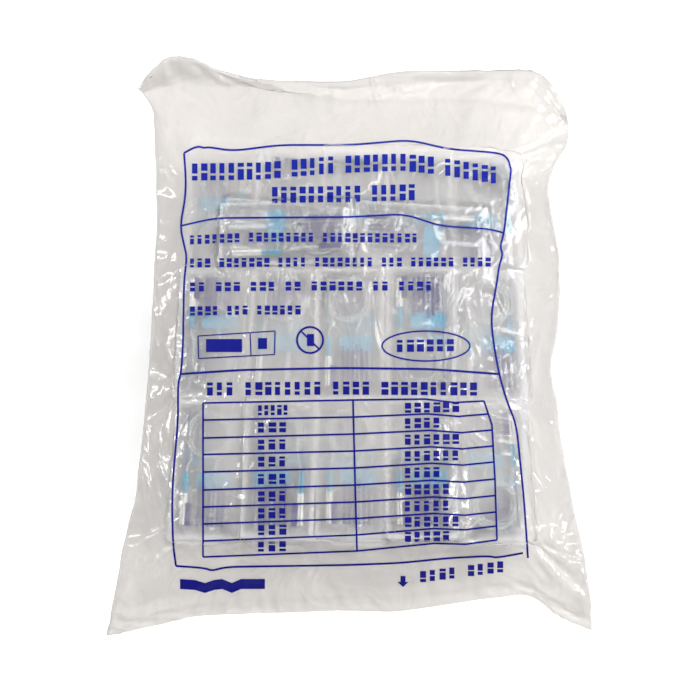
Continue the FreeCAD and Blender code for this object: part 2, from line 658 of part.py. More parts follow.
class Heap:
    """Heights under and over every cell of the table inside the bag, as pouches are laid in."""

    def __init__(self, size, fits, cavity):
        self.size = size
        self.fits = fits
        reach_x = size["bag_width"] / 2
        reach_y = size["bag_length"] / 2
        self.across = int(reach_x // HEAP_CELL)
        self.along = int(reach_y // HEAP_CELL)
        self.floor = {}
        self.roof = {}
        self.film = {}
        self.read_cavity(cavity)
        self.half_x = fits["flat_length"] / 2 + size["pouch_slope"] + size["pouch_seal"]
        self.half_y = fits["flat_width"] / 2 + size["pouch_slope"] + size["pouch_seal"]

    def read_cavity(self, cavity):
        """Heights of the film's inside at every cell, from its two surfaces."""
        top, low = cavity
        first_u, last_u, first_v, last_v = top.bounds()
        steps = [first_v + (last_v - first_v) * k / 60 for k in range(61)]
        corners = {}
        for j in range(-self.along, self.along + 2):
            y = (j - 0.5) * HEAP_CELL
            bounds = []
            for surface in (top, low):
                u = self.row_parameter(surface, y, first_u, last_u)
                line = None
                if u is not None:
                    line = [surface.value(u, v) for v in steps]
                bounds.append(line)
            if bounds[0] is None or bounds[1] is None:
                continue
            for i in range(-self.across, self.across + 2):
                x = (i - 0.5) * HEAP_CELL
                pair = [self.line_height(line, x) for line in bounds]
                if None not in pair:
                    corners[i, j] = pair
        for (i, j) in corners:
            four = [corners.get(key) for key in ((i, j), (i + 1, j), (i, j + 1), (i + 1, j + 1))]
            if None in four:
                continue
            self.roof[i, j] = min(c[0] for c in four) - self.size["heap_clearance"]
            self.film[i, j] = max(c[1] for c in four)
            self.floor[i, j] = (self.film[i, j], 0.0, 0.0)

    @staticmethod
    def row_parameter(surface, y, first, last):
        """Where along the surface it passes a height y of the bag."""
        middle = (surface.bounds()[2] + surface.bounds()[3]) / 2
        if not surface.value(first, middle).y < y < surface.value(last, middle).y:
            return None
        for _ in range(30):
            half = (first + last) / 2
            if surface.value(half, middle).y < y:
                first = half
            else:
                last = half
        return (first + last) / 2

    @staticmethod
    def line_height(line, x):
        """The height of a line of points over a place across the bag."""
        for one, two in zip(line, line[1:]):
            if one.x <= x <= two.x and two.x > one.x:
                return one.z + (two.z - one.z) * (x - one.x) / (two.x - one.x)
        return None

    def half_height(self, inward):
        """Half the thickness of a pouch at a distance in from its edge."""
        size = self.size
        ply = size["pouch_wall"]
        if inward < size["pouch_seal"]:
            return ply
        share = min((inward - size["pouch_seal"]) / size["pouch_slope"], 1.0)
        return ply + share * (self.fits["half_height"] - ply)

    def cells_under(self, x, y, angle):
        """Cells under a pouch, each as its key, place from the pouch's middle and half height."""
        cosine = math.cos(math.radians(angle))
        sine = math.sin(math.radians(angle))
        spare = HEAP_CELL * math.sqrt(0.5)
        reach_x = abs(cosine) * self.half_x + abs(sine) * self.half_y + spare
        reach_y = abs(sine) * self.half_x + abs(cosine) * self.half_y + spare
        cells = []
        for i in range(math.ceil((x - reach_x) / HEAP_CELL), math.floor((x + reach_x) / HEAP_CELL) + 1):
            for j in range(math.ceil((y - reach_y) / HEAP_CELL), math.floor((y + reach_y) / HEAP_CELL) + 1):
                dx = i * HEAP_CELL - x
                dy = j * HEAP_CELL - y
                own_x = abs(dx * cosine + dy * sine)
                own_y = abs(dy * cosine - dx * sine)
                inward = min(self.half_x - own_x, self.half_y - own_y) + spare
                if inward <= 0:
                    continue
                if (i, j) not in self.floor:
                    return None
                cells.append(((i, j), dx, dy, self.half_height(inward)))
        return cells

    def lean(self, cells):
        """Slopes along x and y of the plane that fits the heap under a pouch's thick middle."""
        thick = [c for c in cells if c[3] > 0.9 * self.fits["half_height"]]
        count = len(thick)
        mean_z = sum(self.floor[c[0]][0] for c in thick) / count
        mean_x = sum(c[1] for c in thick) / count
        mean_y = sum(c[2] for c in thick) / count
        xx = xy = yy = xz = yz = 0.0
        for key, dx, dy, _ in thick:
            ex = dx - mean_x
            ey = dy - mean_y
            ez = self.floor[key][0] - mean_z
            xx += ex * ex
            xy += ex * ey
            yy += ey * ey
            xz += ex * ez
            yz += ey * ez
        scale = xx * yy - xy * xy
        slope_x = (xz * yy - yz * xy) / scale
        slope_y = (yz * xx - xz * xy) / scale
        return [max(-STEEPEST, min(STEEPEST, slope)) for slope in (slope_x, slope_y)]

    def rest_height(self, cells, slope_x, slope_y):
        """The lowest height of a leaning pouch's middle that clears the heap, or None."""
        half = HEAP_CELL / 2
        stretch = math.sqrt(1 + slope_x ** 2 + slope_y ** 2)
        height = -math.inf
        for key, dx, dy, thick in cells:
            z, own_x, own_y = self.floor[key]
            spread = (abs(own_x - slope_x) + abs(own_y - slope_y)) * half
            height = max(height, z + spread + thick * stretch - slope_x * dx - slope_y * dy)
        height += self.size["pouch_gap"]
        spread = (abs(slope_x) + abs(slope_y)) * half
        for key, dx, dy, thick in cells:
            if height + slope_x * dx + slope_y * dy + thick * stretch + spread > self.roof[key]:
                return None
        return height

    def lay(self, cells, height, slope_x, slope_y):
        """Raise the heap by a pouch laid on it."""
        stretch = math.sqrt(1 + slope_x ** 2 + slope_y ** 2)
        for key, dx, dy, thick in cells:
            top = height + slope_x * dx + slope_y * dy + thick * stretch
            if top > self.floor[key][0]:
                self.floor[key] = (top, slope_x, slope_y)


def heap_slots(heap):
    """Places for pouches in rows lengthwise and rows crosswise, as x, y and angle."""
    long = 2 * heap.half_x
    short = 2 * heap.half_y
    slots = []
    for row in (-1, 0, 1):
        for column in (-2, -1, 0, 1, 2):
            slots.append((column * short, row * long, 90.0))
    for row in range(-3, 3):
        for column in (-0.5, 0.5):
            slots.append((column * long, (row + 0.5) * short, 0.0))
    return slots


def lowest_near(heap, slot, chance):
    """The lowest way that a pouch can lie near a slot, of a few tries, or None."""
    best = None
    for _ in range(TRIES):
        x = slot[0] + chance.uniform(-SHIFT, SHIFT)
        y = slot[1] + chance.uniform(-SHIFT, SHIFT)
        angle = slot[2] + chance.gauss(0, TURN)
        cells = heap.cells_under(x, y, angle)
        if not cells:
            continue
        lean = heap.lean(cells)
        for share in (1.0, 0.5, 0.0):
            slope_x = lean[0] * share
            slope_y = lean[1] * share
            height = heap.rest_height(cells, slope_x, slope_y)
            if height is not None and (best is None or height < best[0]):
                best = (height, x, y, angle, slope_x, slope_y, cells)
    return best


def settle(heap, way, turn, body, laid):
    """Lower a pouch until it all but touches what lies under it, and give its place and body."""
    height, x, y, _, slope_x, slope_y, cells = way
    gap = heap.size["pouch_gap"]
    stretch = math.sqrt(1 + slope_x ** 2 + slope_y ** 2)
    over_film = min(height + slope_x * dx + slope_y * dy - thick * stretch - heap.film[key]
                    for key, dx, dy, thick in cells)
    room = over_film - gap
    for _ in range(DROPS):
        place = Placement(Vector(x, y, height), turn)
        shape = body.transformed(place.toMatrix(), True)
        box = shape.BoundBox
        box.enlarge(gap + DROP)
        fall = min(room, DROP)
        for other in laid:
            if fall > 0 and box.intersect(other.BoundBox):
                fall = min(fall, shape.distToShape(other)[0] - gap)
        if fall <= 0:
            break
        height -= fall
        room -= fall
    place = Placement(Vector(x, y, height), turn)
    return place, body.transformed(place.toMatrix(), True)


def fill(size, fits, cavity, body):
    """Lay pouches into the bag one by one, each where it comes to lie lowest."""
    heap = Heap(size, fits, cavity)
    chance = random.Random(HEAP_SEED)
    slots = heap_slots(heap)
    reach = 2 * (math.hypot(heap.half_x, heap.half_y) + HEAP_CELL + SHIFT)
    stale = list(slots)
    ways = {}
    places = []
    laid = []
    while len(places) < size["set_count"]:
        for slot in stale:
            ways[slot] = lowest_near(heap, slot, chance)
        open_ways = [way for way in ways.values() if way is not None]
        if not open_ways:
            break
        way = min(open_ways, key=lambda way: way[0])
        _, x, y, angle, slope_x, slope_y, cells = way
        lift = Rotation(Vector(0, 0, 1), Vector(-slope_x, -slope_y, 1))
        spin = Rotation(Vector(0, 0, 1), angle + chance.choice((0, 180)))
        flip = Rotation(Vector(1, 0, 0), chance.choice((0, 180)))
        place, settled = settle(heap, way, lift * spin * flip, body, laid)
        places.append(place)
        laid.append(settled)
        heap.lay(cells, place.Base.z, slope_x, slope_y)
        stale = [slot for slot in slots if math.hypot(slot[0] - x, slot[1] - y) < reach]
    places.sort(key=lambda place: place.Base.z)
    print("pouches laid", len(places), "highest", round(places[-1].Base.z, 1))
    return places


# The whole bag


def set_pieces(doc, size, fits):
    """One needle set as (kind, shape) pairs, in its pouch's own frame."""
    hub = winged_hub(doc)
    socket = adapter(doc)
    sheath = closed_sleeve(doc, "sheath", "fits.sheath_length", "sizes.nose_diameter / 2 + sizes.fit_gap",
                           "sizes.sheath_diameter / 2")
    sleeve = closed_sleeve(doc, "sleeve", "fits.sleeve_length",
                           "sizes.spigot_diameter / 2 + sizes.fit_gap", "sizes.sleeve_diameter / 2")
    cap = closed_sleeve(doc, "cap", "fits.cap_length", "sizes.cap_diameter / 2 - sizes.cap_wall",
                        "sizes.cap_diameter / 2")
    front = cannula(doc, "front_cannula", "fits.front_length")
    rear = cannula(doc, "rear_cannula", "fits.rear_length")
    tubing = doc.addObject("Part::Feature", "tubing")
    tubing.Label = "tubing"
    tubing.Shape = tubing_shape(size, fits)
    along_x = Rotation(Vector(0, 1, 0), 90)
    level = Rotation()
    hub_y = fits["hub_y"]
    adapter_y = fits["adapter_y"]
    places = (
        ("pouches", pouch(doc), Vector(fits["middle_x"], 0, 0), level),
        ("winged_hubs", hub, Vector(fits["hub_x"], hub_y, 0), level),
        ("needles", front, Vector(fits["front_x"], hub_y, 0), along_x),
        ("needles", rear, Vector(fits["rear_x"], adapter_y, 0), along_x),
        ("sheaths", sheath, Vector(fits["sheath_x"], hub_y, 0), level),
        ("tubing", tubing, Vector(0, 0, 0), level),
        ("adapters", socket, Vector(fits["adapter_x"], adapter_y, 0), level),
        ("sleeves", sleeve, Vector(fits["sleeve_x"], adapter_y, 0), level),
        ("caps", cap, Vector(fits["sleeve_x"], adapter_y, 0), level),
    )
    middle = Vector(-fits["middle_x"], 0, 0)
    pieces = []
    for kind, item, base, turn in places:
        item.Placement = Placement(base + middle, turn)
        doc.recompute()
        pieces.append((kind, item.Shape))
    return pieces


def main():
    doc = FreeCAD.newDocument("bag_of_butterfly_needles")
    size = size_sheet(doc, "sizes", SIZES)
    fits = fitted(size)
    size_sheet(doc, "fits", [(name, value, name) for name, value in fits.items()])
    masters = set_pieces(doc, size, fits)
    cavity = cavity_surfaces(size)
    film = doc.addObject("Part::Feature", "bag_film")
    film.Label = "bag_film"
    film.Shape = film_shape(size, cavity)
    nodes = [film]
    laid = fill(size, fits, cavity, doc.getObject("pouch_full").Shape)
    for group in range(GROUPS):
        first = round(len(laid) * group / GROUPS)
        last = round(len(laid) * (group + 1) / GROUPS)
        for kind in dict(masters):
            copies = []
            for place in laid[first:last]:
                for own_kind, shape in masters:
                    if own_kind == kind:
                        copies.append(shape.transformed(place.toMatrix(), True))
            node = doc.addObject("Part::Feature", f"{kind}_layer_{group + 1}")
            node.Label = f"{kind}_layer_{group + 1}"
            node.Shape = Part.Compound(copies)
            nodes.append(node)
    doc.recompute()
    for item in doc.Objects:
        if "Invalid" in item.State or "Error" in item.State:
            raise RuntimeError(f"{item.Label} did not build")
    for node in nodes:
        if node.Shape.isNull() or not node.Shape.isValid():
            raise RuntimeError(f"{node.Label} has no sound shape")
    os.makedirs("parts", exist_ok=True)
    for node in nodes:
        node.Shape.exportStep(f"parts/{node.Label}.step")


main()
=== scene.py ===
"""The looks of a sealed polythene bag of butterfly needles, laid on its back.

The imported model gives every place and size. The bag's film is a thin mesh that is draped over the
heap of pouches, and its print is laid on that film where the photograph shows it. Every pouch gets
its own crinkled film. The needle sets inside keep their solids and get their plastics and steel.
"""
import math
import random

import bpy
import numpy as np
from bpy.props import FloatProperty, FloatVectorProperty, IntProperty, PointerProperty, StringProperty
from mathutils import Matrix, Vector, noise
from mathutils.bvhtree import BVHTree


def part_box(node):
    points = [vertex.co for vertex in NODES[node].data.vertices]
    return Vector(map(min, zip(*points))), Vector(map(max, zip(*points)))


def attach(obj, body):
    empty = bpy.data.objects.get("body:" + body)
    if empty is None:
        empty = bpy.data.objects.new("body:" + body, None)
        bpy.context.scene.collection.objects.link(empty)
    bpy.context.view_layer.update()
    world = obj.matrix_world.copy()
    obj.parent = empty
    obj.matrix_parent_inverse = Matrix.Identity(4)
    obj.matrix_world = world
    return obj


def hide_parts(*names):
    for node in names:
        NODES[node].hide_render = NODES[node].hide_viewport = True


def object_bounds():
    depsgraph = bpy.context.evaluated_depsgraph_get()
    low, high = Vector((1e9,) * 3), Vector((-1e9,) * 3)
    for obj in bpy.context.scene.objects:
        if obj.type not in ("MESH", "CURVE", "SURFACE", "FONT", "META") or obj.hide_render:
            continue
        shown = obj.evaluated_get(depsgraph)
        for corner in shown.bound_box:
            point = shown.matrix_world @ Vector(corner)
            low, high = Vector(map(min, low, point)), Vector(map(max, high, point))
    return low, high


bl_info = {
    "name": "Bag of butterfly needles",
    "version": (1, 0, 0),
    "blender": (4, 5, 0),
    "location": "View3D > Sidebar > Needle bag",
    "description": "Dresses a packed model of a sealed bag of butterfly needles",
    "category": "Mesh",
}

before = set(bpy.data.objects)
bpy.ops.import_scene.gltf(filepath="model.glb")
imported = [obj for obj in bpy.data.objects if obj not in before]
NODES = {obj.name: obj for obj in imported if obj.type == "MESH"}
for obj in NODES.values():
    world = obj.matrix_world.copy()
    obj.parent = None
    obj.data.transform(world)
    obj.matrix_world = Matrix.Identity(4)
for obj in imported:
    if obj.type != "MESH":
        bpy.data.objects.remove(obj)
CAD_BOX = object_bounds()
LAYERS = range(1, 8)
MM = 0.001

# Places in the photograph, in pixels of its 700 x 700 frame, as (across, down). Lines are rounded
# at their points, from CORNER pixels before a point to as many after it.
PICTURE = 700
CORNER = 14
TOP_EDGE = ((137, 90), (150, 72), (165, 57), (180, 55), (195, 58), (210, 66), (240, 75), (270, 79),
            (350, 79), (370, 74), (400, 70), (440, 69), (530, 68), (545, 75), (558, 95), (567, 115))
TOP_SEAL = ((141, 93.5), (161, 86), (192, 84), (245, 84), (290, 91), (350, 96), (433, 96),
            (484, 98), (513, 104), (532, 108), (552, 112), (570, 126))
BOTTOM_SEAL = ((109, 621), (160, 614), (200, 606), (232, 604), (350, 600), (395, 601), (462, 592),
               (495, 587), (529, 583), (556, 604), (592, 617))
BOTTOM_EDGE = ((105, 637), (161, 625), (196, 616), (232, 615), (350, 611), (395, 613), (462, 603),
               (495, 598), (529, 594), (558, 617), (593, 632))
LEFT_SIDE = ((109, 621), (113, 591), (118, 562), (124, 529), (132, 506), (135, 484), (141, 428),
             (146, 372), (148, 335), (151, 290), (152, 257), (155, 223), (154.5, 190), (153, 147),
             (153, 114), (150, 103), (141, 93.5))
RIGHT_SIDE = ((592, 617), (591, 591), (587, 562), (580, 529), (573, 488), (565, 450), (558, 399),
              (552, 368), (556, 350), (560, 324), (562, 290), (562, 263), (554, 219), (548, 185),
              (560, 158), (568, 145), (570, 126))
# The film's bands from the bottom up, each with its lower, upper, left and right border.
SEEN_BANDS = (
    (BOTTOM_EDGE, BOTTOM_SEAL, (BOTTOM_EDGE[0], BOTTOM_SEAL[0]), (BOTTOM_EDGE[-1], BOTTOM_SEAL[-1])),
    (BOTTOM_SEAL, TOP_SEAL, LEFT_SIDE, RIGHT_SIDE),
    (TOP_SEAL, TOP_EDGE, (TOP_SEAL[0], TOP_EDGE[0]), (TOP_SEAL[-1], TOP_EDGE[-1])),
)

# The bag's print. Every line is (weight in pixels, points).
BOX_LINES = (
    (2.0, ((184, 153), (186, 180), (185, 200), (180, 226), (184, 245), (187, 257), (184, 280),
           (183, 345), (181, 374), (178, 382), (178, 420), (173, 478), (172, 505), (173, 545),
           (176, 566))),
    (2.0, ((184, 153), (197, 146), (204, 148), (209, 147), (232, 151), (280, 145), (350, 145),
           (410, 140), (448, 149), (500, 153), (508, 158), (511, 170))),
    (2.0, ((511, 170), (506, 215), (504, 233), (500, 247), (503, 254), (499, 266), (497, 282),
           (491, 315), (493, 340), (499, 374), (507, 402), (516, 423), (519, 450), (524, 500),
           (528, 558))),
    (2.0, ((176, 566), (205, 568), (212, 571), (225, 567), (350, 565), (400, 563), (450, 558),
           (490, 556), (496, 558), (523, 553))),
    (1.8, ((180, 226), (215, 218), (350, 217), (405, 214), (440, 226), (490, 229), (504, 233))),
    (2.2, ((181, 374), (240, 370), (340, 368), (430, 369), (499, 374))),
)
TABLE_LEFT = ((203, 403), (203, 557))
TABLE_MIDDLE = ((353, 400), (355, 480), (357, 551))
TABLE_RIGHT = ((484, 401), (492, 425), (495, 480), (497, 540))
TABLE_ROWS = (
    # left, middle and right height of each row line, from the top
    (403, 400, 401), (420, 417, 414), (438, 434, 430), (454.5, 451, 446), (472, 468, 462),
    (490, 485, 479), (507, 502, 495.5), (524, 518.5, 512), (541, 535, 526), (557, 551, 540),
)
# How far a row line falls, at shares of the way along its right half.
ROW_KINK = ((0.55, -1.5), (0.78, 1.8), (0.84, 1.2))


# Colours and properties


def linear(hex_colour):
    """An sRGB hex colour as linear red, green and blue, with a full alpha."""
    parts = [int(hex_colour[i:i + 2], 16) / 255 for i in (1, 3, 5)]
    return tuple(c / 12.92 if c <= 0.04045 else ((c + 0.055) / 1.055) ** 2.4 for c in parts) + (1.0,)


def colour_property(name, description, default):
    """A colour that a user can change, kept as a hex string."""
    return StringProperty(name=name, description=description, default=default)


def length_property(name, description, default_mm):
    """A length that a user can change, in metres."""
    return FloatProperty(name=name, description=description, default=default_mm * MM,
                         unit="LENGTH", precision=5)


def share_property(name, description, default):
    """A share that a user can change, from 0 to 1."""
    return FloatProperty(name=name, description=description, default=default,
                         subtype="FACTOR", min=0, max=1)


class BagFilmLook(bpy.types.PropertyGroup):
    """Sizes and colours of the bag's film."""
    columns: IntProperty(name="Columns", description="Cells across the film", default=96)
    rows: IntProperty(name="Rows", description="Cells between the two seals", default=106)
    slack: share_property("Slack", "Share by which the film is longer than its way over the heap", 0.03)
    sink: length_property("Sink", "Furthest that the film settles from the packed shape", 9)
    heap_gap: length_property("Heap gap", "Least height of the film over a pouch", 0.7)
    clearance: length_property("Clearance", "Gap kept between the film and the table", 0.25)
    colour: colour_property("Film", "Milky tint of the polythene", "#e4e1de")
    cover: share_property("Cover", "How much the film hides where it lies on a pouch", 0.18)
    far_cover: share_property("Far cover", "How much the film hides where it stands away", 0.56)
    far: length_property("Far", "Distance to the pouches at which the film looks milky", 6)
    seam_cover: share_property("Seam cover", "How much more a seal or folded edge hides", 0.22)
    crinkle: length_property("Crinkle", "Height of the fine crinkles in the film", 0.5)
    crease: length_property("Crease", "Height of the long creases at the corners and sides", 3.6)
    ear: length_property("Ear", "How far the top left corner stands up from the table", 15)


class PrintLook(bpy.types.PropertyGroup):
    """Sizes and colour of the bag's print."""
    # the ink is one blue; its lighter top tone and its darker foot tone are painted light and shade
    colour: colour_property("Ink", "Blue flexographic ink", "#1428a8")
    foot: colour_property("Foot ink", "The same ink towards the foot of the bag", "#050584")
    lift: length_property("Lift", "Height of the ink over the film", 0.3)
    step: FloatProperty(name="Step", description="Length of a piece of a line, in pixels", default=1.6)


class PouchLook(bpy.types.PropertyGroup):
    """Sizes and colours of the pouches."""
    columns: IntProperty(name="Columns", description="Cells along a pouch", default=26)
    rows: IntProperty(name="Rows", description="Cells across a pouch", default=14)
    crinkle: length_property("Crinkle", "Height of the creases in a pouch", 0.7)
    film: colour_property("Pouch film", "Clear pouch film with a cool tint", "#f6f7fb")
    cover: share_property("Cover", "How much one wall of a pouch hides", 0.11)
    seal_cover: share_property("Seal cover", "How much a pouch's heat seal hides", 0.42)
    ink: colour_property("Pouch ink", "Violet ink of the pouches", "#2a1f78")


class SetLook(bpy.types.PropertyGroup):
    """Colours of the needle sets."""
    wings: colour_property("Wings", "Turquoise soft PVC", "#00a2c8")
    adapter: colour_property("Adapter", "Turquoise ABS", "#0ea6c6")
    sheath: colour_property("Sheath", "Milky polyethylene", "#d3d9de")
    tubing: colour_property("Tubing", "Clear PVC, seen as pale grey", "#c0c7c9")
    sleeve: colour_property("Sleeve", "Cream latex", "#e6dcc4")
    cap: colour_property("Cap", "White polypropylene", "#f2f2ee")


class StageLook(bpy.types.PropertyGroup):
    """The floor, the lights and the camera."""
    floor: colour_property("Floor", "Plain pale floor", "#ffffff")
    floor_size: length_property("Floor size", "Side of the floor", 6000)
    elevation: FloatProperty(name="Elevation", description="How far the camera looks down",
                             default=math.radians(73.8), subtype="ANGLE")
    roll: FloatProperty(name="Roll", description="How far the camera is turned about its view",
                        default=math.radians(0.62), subtype="ANGLE")
    distance: length_property("Distance", "From the camera to the point it looks at", 910)
    lens: FloatProperty(name="Lens", description="Focal length, in millimetres on a 36 mm frame",
                        default=62.9)
    aim: FloatVectorProperty(name="Aim", description="The point that the camera looks at",
                             default=(-1.1 * MM, -6.0 * MM, 20 * MM), subtype="XYZ", unit="LENGTH")


SENSOR = 36.0
# Each light: its place and width in metres, its power in watts and its colour.
LIGHTS = {
    "key": ((0.9, 0.8, 1.1), 0.3, 8, (1.0, 0.995, 0.985)),
    "fill": ((0.1, -1.1, 1.5), 1.2, 6, (0.985, 0.99, 1.0)),
    "strip_left": ((-1.2, 0.35, 0.8), 0.06, 6, (1.0, 1.0, 1.0)),
    "strip_right": ((1.1, -0.1, 0.8), 0.06, 7, (1.0, 1.0, 1.0)),
    "strip_back": ((-0.3, 1.1, 1.7), 0.08, 2, (1.0, 1.0, 1.0)),
}
LIGHT_LENGTH = 0.9
ROOM_LIGHT = 0.3


def camera_axes(look):
    """The camera's place and its right, up and backward directions."""
    back = Vector((0, -math.cos(look.elevation), math.sin(look.elevation)))
    right = Vector((1, 0, 0))
    up = back.cross(right)
    turned_right = right * math.cos(look.roll) + up * math.sin(look.roll)
    turned_up = up * math.cos(look.roll) - right * math.sin(look.roll)
    return Vector(look.aim) + back * look.distance, turned_right, turned_up, back


def pixel_direction(look, across, down):
    """The direction from the camera through a pixel of the photograph."""
    _, right, up, back = camera_axes(look)
    focal = look.lens / SENSOR * PICTURE
    half = PICTURE / 2
    return (right * (across - half) / focal - up * (down - half) / focal - back).normalized()


def at_height(look, across, down, height):
    """The point at a height over the table that the photograph shows at a pixel."""
    eye = camera_axes(look)[0]
    ray = pixel_direction(look, across, down)
    return eye + ray * ((height - eye.z) / ray.z)


# Curves, grids and meshes

ROUND_STEPS = 6


def smooth_step(share):
    """A share from 0 to 1, eased at both ends."""
    return share * share * (3 - 2 * share)


def along_line(points, share):
    """The point a share of the way along a line of points, by its length."""
    steps = [math.dist(a, b) for a, b in zip(points, points[1:])]
    left = share * sum(steps)
    for a, b, step in zip(points, points[1:], steps):
        if left <= step and step > 0:
            part = left / step
            return tuple(p + (q - p) * part for p, q in zip(a, b))
        left -= step
    return tuple(points[-1])


def rounded(points, reach):
    """A line of points with each corner rounded, from a reach before it to a reach after it."""
    result = [tuple(points[0])]
    for before, corner, after in zip(points, points[1:], points[2:]):
        ends = []
        for other in (before, after):
            share = min(0.5, reach / math.dist(corner, other))
            ends.append([c + (o - c) * share for c, o in zip(corner, other)])
        for k in range(ROUND_STEPS + 1):
            t = k / ROUND_STEPS
            result.append(tuple((1 - t) ** 2 * a + 2 * t * (1 - t) * c + t * t * b
                                for a, c, b in zip(ends[0], corner, ends[1])))
    result.append(tuple(points[-1]))
    return result


def resampled(points, step):
    """A line of points a step apart, through its corners."""
    result = [tuple(points[0])]
    for a, b in zip(points, points[1:]):
        count = max(1, round(math.dist(a, b) / step))
        for k in range(1, count + 1):
            result.append(tuple(p + (q - p) * k / count for p, q in zip(a, b)))
    return result


def mesh_object(name, points, faces, smooth=True):
    """An object from points and faces, in the scene."""
    mesh = bpy.data.meshes.new(name)
    mesh.from_pydata([tuple(p) for p in points], [], faces)
    mesh.validate()
    for polygon in mesh.polygons:
        polygon.use_smooth = smooth
    piece = bpy.data.objects.new(name, mesh)
    bpy.context.scene.collection.objects.link(piece)
    return piece


def grid_faces(columns, rows, start=0, flip=False):
    """Quads of a grid of points that runs across first."""
    faces = []
    for j in range(rows):
        for i in range(columns):
            a = start + j * (columns + 1) + i
            face = (a, a + 1, a + columns + 2, a + columns + 1)
            faces.append(face[::-1] if flip else face)
    return faces


def mark(piece, name, values):
    """Give each vertex of a piece a value that its material reads by name."""
    piece.data.attributes.new(name, "FLOAT", "POINT").data.foreach_set("value", values)


def top_at(tree, x, y):
    """Where a ray from high above first meets a mesh, or None."""
    return tree.ray_cast(Vector((x, y, 1.0)), Vector((0, 0, -1)))[0]


# Materials


def new_material(name):
    """A material and its node tree, emptied."""
    material = bpy.data.materials.new(name)
    material.use_nodes = True
    tree = material.node_tree
    tree.nodes.clear()
    return material, tree


def add_node(tree, kind, settings=(), links=()):
    """A node with its settings, and links as (input, source socket). Inputs go by name or number."""
    node = tree.nodes.new(kind)
    for name, value in dict(settings).items():
        if isinstance(name, int) or name in node.inputs:
            node.inputs[name].default_value = value
        else:
            setattr(node, name, value)
    for name, source in dict(links).items():
        tree.links.new(source, node.inputs[name])
    return node


def finished(tree, settings, links):
    """Wire a Principled surface to the output."""
    shader = add_node(tree, "ShaderNodeBsdfPrincipled", settings, links)
    add_node(tree, "ShaderNodeOutputMaterial", (), {"Surface": shader.outputs["BSDF"]})


def fine_bump(tree, spacing, height, detail=4.0, strength=1.0):
    """Bump from noise of a real spacing and height, in metres."""
    place = add_node(tree, "ShaderNodeTexCoord")
    grain = add_node(tree, "ShaderNodeTexNoise", {"Scale": 1 / spacing, "Detail": detail},
                     {"Vector": place.outputs["Object"]})
    return add_node(tree, "ShaderNodeBump", {"Strength": strength, "Distance": height},
                    {"Height": grain.outputs["Fac"]})


def blown_polythene(look):
    """Blown LDPE film: a milky haze with soft highlights that break up on its crinkles."""
    material, tree = new_material("blown_polythene_film")
    place = add_node(tree, "ShaderNodeTexCoord")
    # cloudy haze about 55 mm across, as blown film has
    cloud = add_node(tree, "ShaderNodeTexNoise", {"Scale": 1 / (55 * MM), "Detail": 4.0},
                     {"Vector": place.outputs["Object"]})
    haze = add_node(tree, "ShaderNodeMapRange",
                    {"From Min": 0.35, "From Max": 0.65, "To Min": -0.08, "To Max": 0.08},
                    {"Value": cloud.outputs["Fac"]})
    # haze blurs what stands off from it, so it hides least where the film lies on a pouch
    away = add_node(tree, "ShaderNodeAttribute", {"attribute_name": "away"})
    depth = add_node(tree, "ShaderNodeMapRange", {"To Min": look.cover, "To Max": look.far_cover},
                     {"Value": away.outputs["Fac"]})
    cover = add_node(tree, "ShaderNodeMath", {"operation": "ADD"},
                     {0: haze.outputs["Result"], 1: depth.outputs["Result"]})
    # the heat seals and the folded edges are two films thick and hide more
    seam = add_node(tree, "ShaderNodeAttribute", {"attribute_name": "seam"})
    hiding = add_node(tree, "ShaderNodeMath",
                      {"operation": "MULTIPLY_ADD", "use_clamp": True, 1: look.seam_cover},
                      {0: seam.outputs["Fac"], 2: cover.outputs["Value"]})
    # sharp creases about 40 mm long that run up the bag more than across it, and a finer crackle
    stretched = add_node(tree, "ShaderNodeMapping", {"Scale": (1.0, 0.55, 1.0), "Rotation": (0, 0, 0.3)},
                         {"Vector": place.outputs["Object"]})
    ridge = add_node(tree, "ShaderNodeTexNoise",
                     {"noise_type": "RIDGED_MULTIFRACTAL", "normalize": False, "Scale": 1 / (42 * MM),
                      "Detail": 2.5, "Roughness": 0.5, "Distortion": 0.8, "Offset": 1.0, "Gain": 2.0},
                     {"Vector": stretched.outputs["Vector"]})
    creases = add_node(tree, "ShaderNodeBump", {"Strength": 0.8, "Distance": 1.5 * MM},
                       {"Height": ridge.outputs["Fac"]})
    crackle = add_node(tree, "ShaderNodeTexNoise", {"Scale": 1 / (9 * MM), "Detail": 3.0},
                       {"Vector": place.outputs["Object"]})
    bump = add_node(tree, "ShaderNodeBump", {"Strength": 0.5, "Distance": 0.8 * MM},
                    {"Height": crackle.outputs["Fac"], "Normal": creases.outputs["Normal"]})
    # what isn't hidden goes through, and blurs more the further it stands from the film
    through = add_node(tree, "ShaderNodeMath", {"operation": "SUBTRACT", "use_clamp": True, 0: 1.0},
                       {1: hiding.outputs["Value"]})
    blur = add_node(tree, "ShaderNodeMapRange", {"To Min": 0.3, "To Max": 0.6},
                    {"Value": away.outputs["Fac"]})
    finished(tree, {"Base Color": linear(look.colour), "IOR": 1.2, "Coat Weight": 1.0,
                    "Coat Roughness": 0.13, "Coat IOR": 1.51},
             {"Transmission Weight": through.outputs["Value"], "Roughness": blur.outputs["Result"],
              "Normal": bump.outputs["Normal"], "Coat Normal": bump.outputs["Normal"]})
    return material


